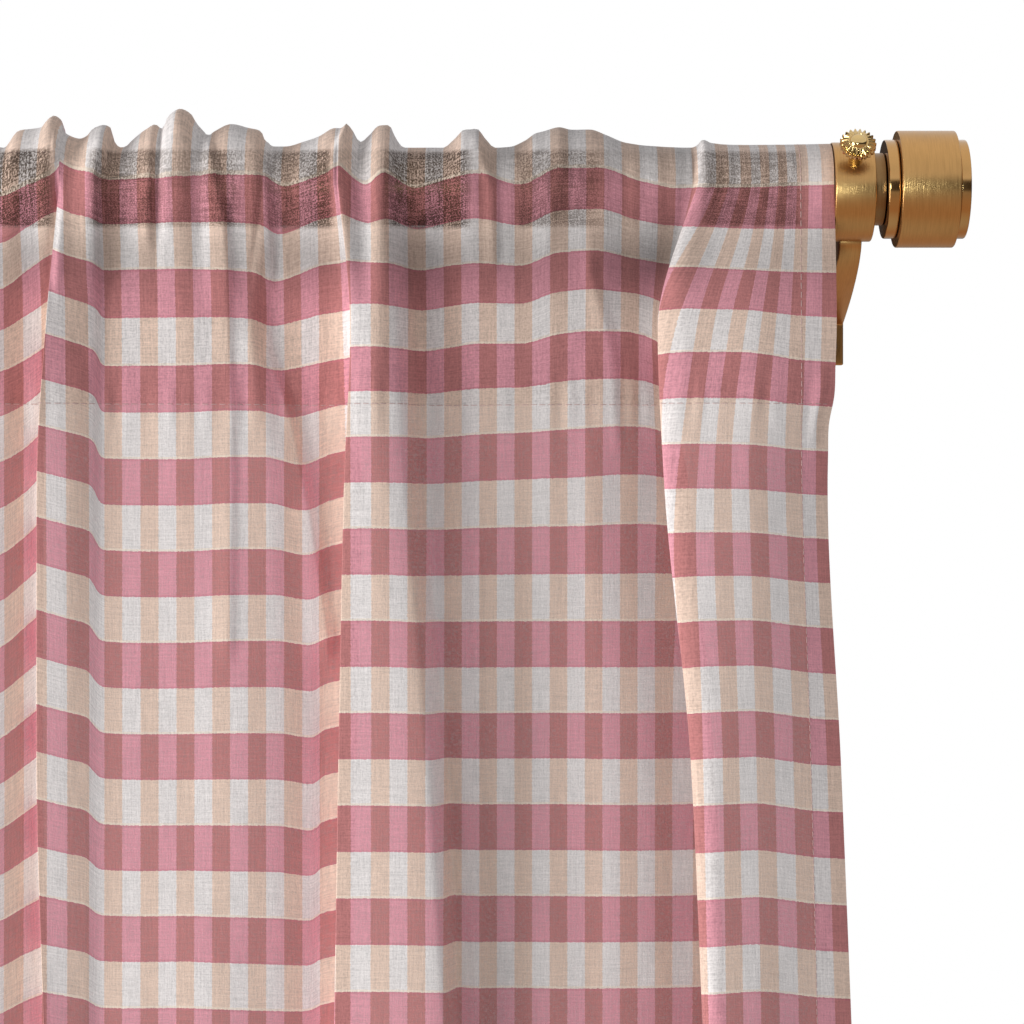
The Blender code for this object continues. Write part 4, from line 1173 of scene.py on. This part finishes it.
world = bpy.data.worlds.new("surround")
bpy.context.scene.world = world
world.use_nodes = True
sky = world.node_tree
sky.nodes.clear()
direction = add_node(sky, "ShaderNodeSeparateXYZ", Vector=add_node(
    sky, "ShaderNodeTexCoord").outputs["Generated"]).outputs["Z"]
rise = maths(sky, "MULTIPLY_ADD", direction, 0.5, 0.5)
ramp_node = add_node(sky, "ShaderNodeValToRGB", Fac=rise)
ramp = ramp_node.color_ramp
REFLECTED = [
    (0.0, (0.62, 0.60, 0.56)), (0.03, (0.60, 0.50, 0.42)), (0.09, (0.56, 0.36, 0.24)),
    (0.22, (0.55, 0.40, 0.30)), (0.34, (0.46, 0.38, 0.32)), (0.39, (0.50, 0.46, 0.42)),
    (0.43, (0.06, 0.05, 0.045)), (0.60, (0.06, 0.05, 0.045)), (0.66, (1.05, 1.08, 1.12)),
    (0.74, (0.98, 0.98, 1.0)), (0.84, (0.95, 0.97, 0.98)), (1.0, (1.1, 1.1, 1.1)),
]
while len(ramp.elements) < len(REFLECTED):
    ramp.elements.new(0.5)
for element, (place, colour) in zip(ramp.elements, REFLECTED):
    element.position = place
    element.color = (*colour, 1.0)
rays = add_node(sky, "ShaderNodeLightPath")
mirrored = ramp_node.outputs["Color"]
seen = blend_colour(sky, rays.outputs["Is Glossy Ray"], (0.44, 0.44, 0.45, 1.0), mirrored)
seen = blend_colour(sky, rays.outputs["Is Camera Ray"], seen, (1.0, 1.0, 1.0, 1.0))
surround = add_node(sky, "ShaderNodeBackground", Color=seen, Strength=1.0)
out = sky.nodes.new("ShaderNodeOutputWorld")
sky.links.new(surround.outputs[0], out.inputs["Surface"])

floor_material, _, floor_shader = new_material("floor_paint")
floor_shader.inputs["Base Color"].default_value = (0.82, 0.81, 0.80, 1.0)
floor_shader.inputs["Roughness"].default_value = 0.8
FLOOR_HALF = 2.0
FLOOR_HEIGHT = -1.64
floor_mesh = bpy.data.meshes.new("floor")
floor_mesh.from_pydata(
    [(-FLOOR_HALF, -FLOOR_HALF, FLOOR_HEIGHT), (FLOOR_HALF, -FLOOR_HALF, FLOOR_HEIGHT),
     (FLOOR_HALF, FLOOR_HALF, FLOOR_HEIGHT), (-FLOOR_HALF, FLOOR_HALF, FLOOR_HEIGHT)],
    [], [(0, 1, 2, 3)],
)
floor_mesh.materials.append(floor_material)
floor = bpy.data.objects.new("floor", floor_mesh)
floor.visible_glossy = False
bpy.context.scene.collection.objects.link(floor)

bpy.context.scene.view_settings.view_transform = "Standard"
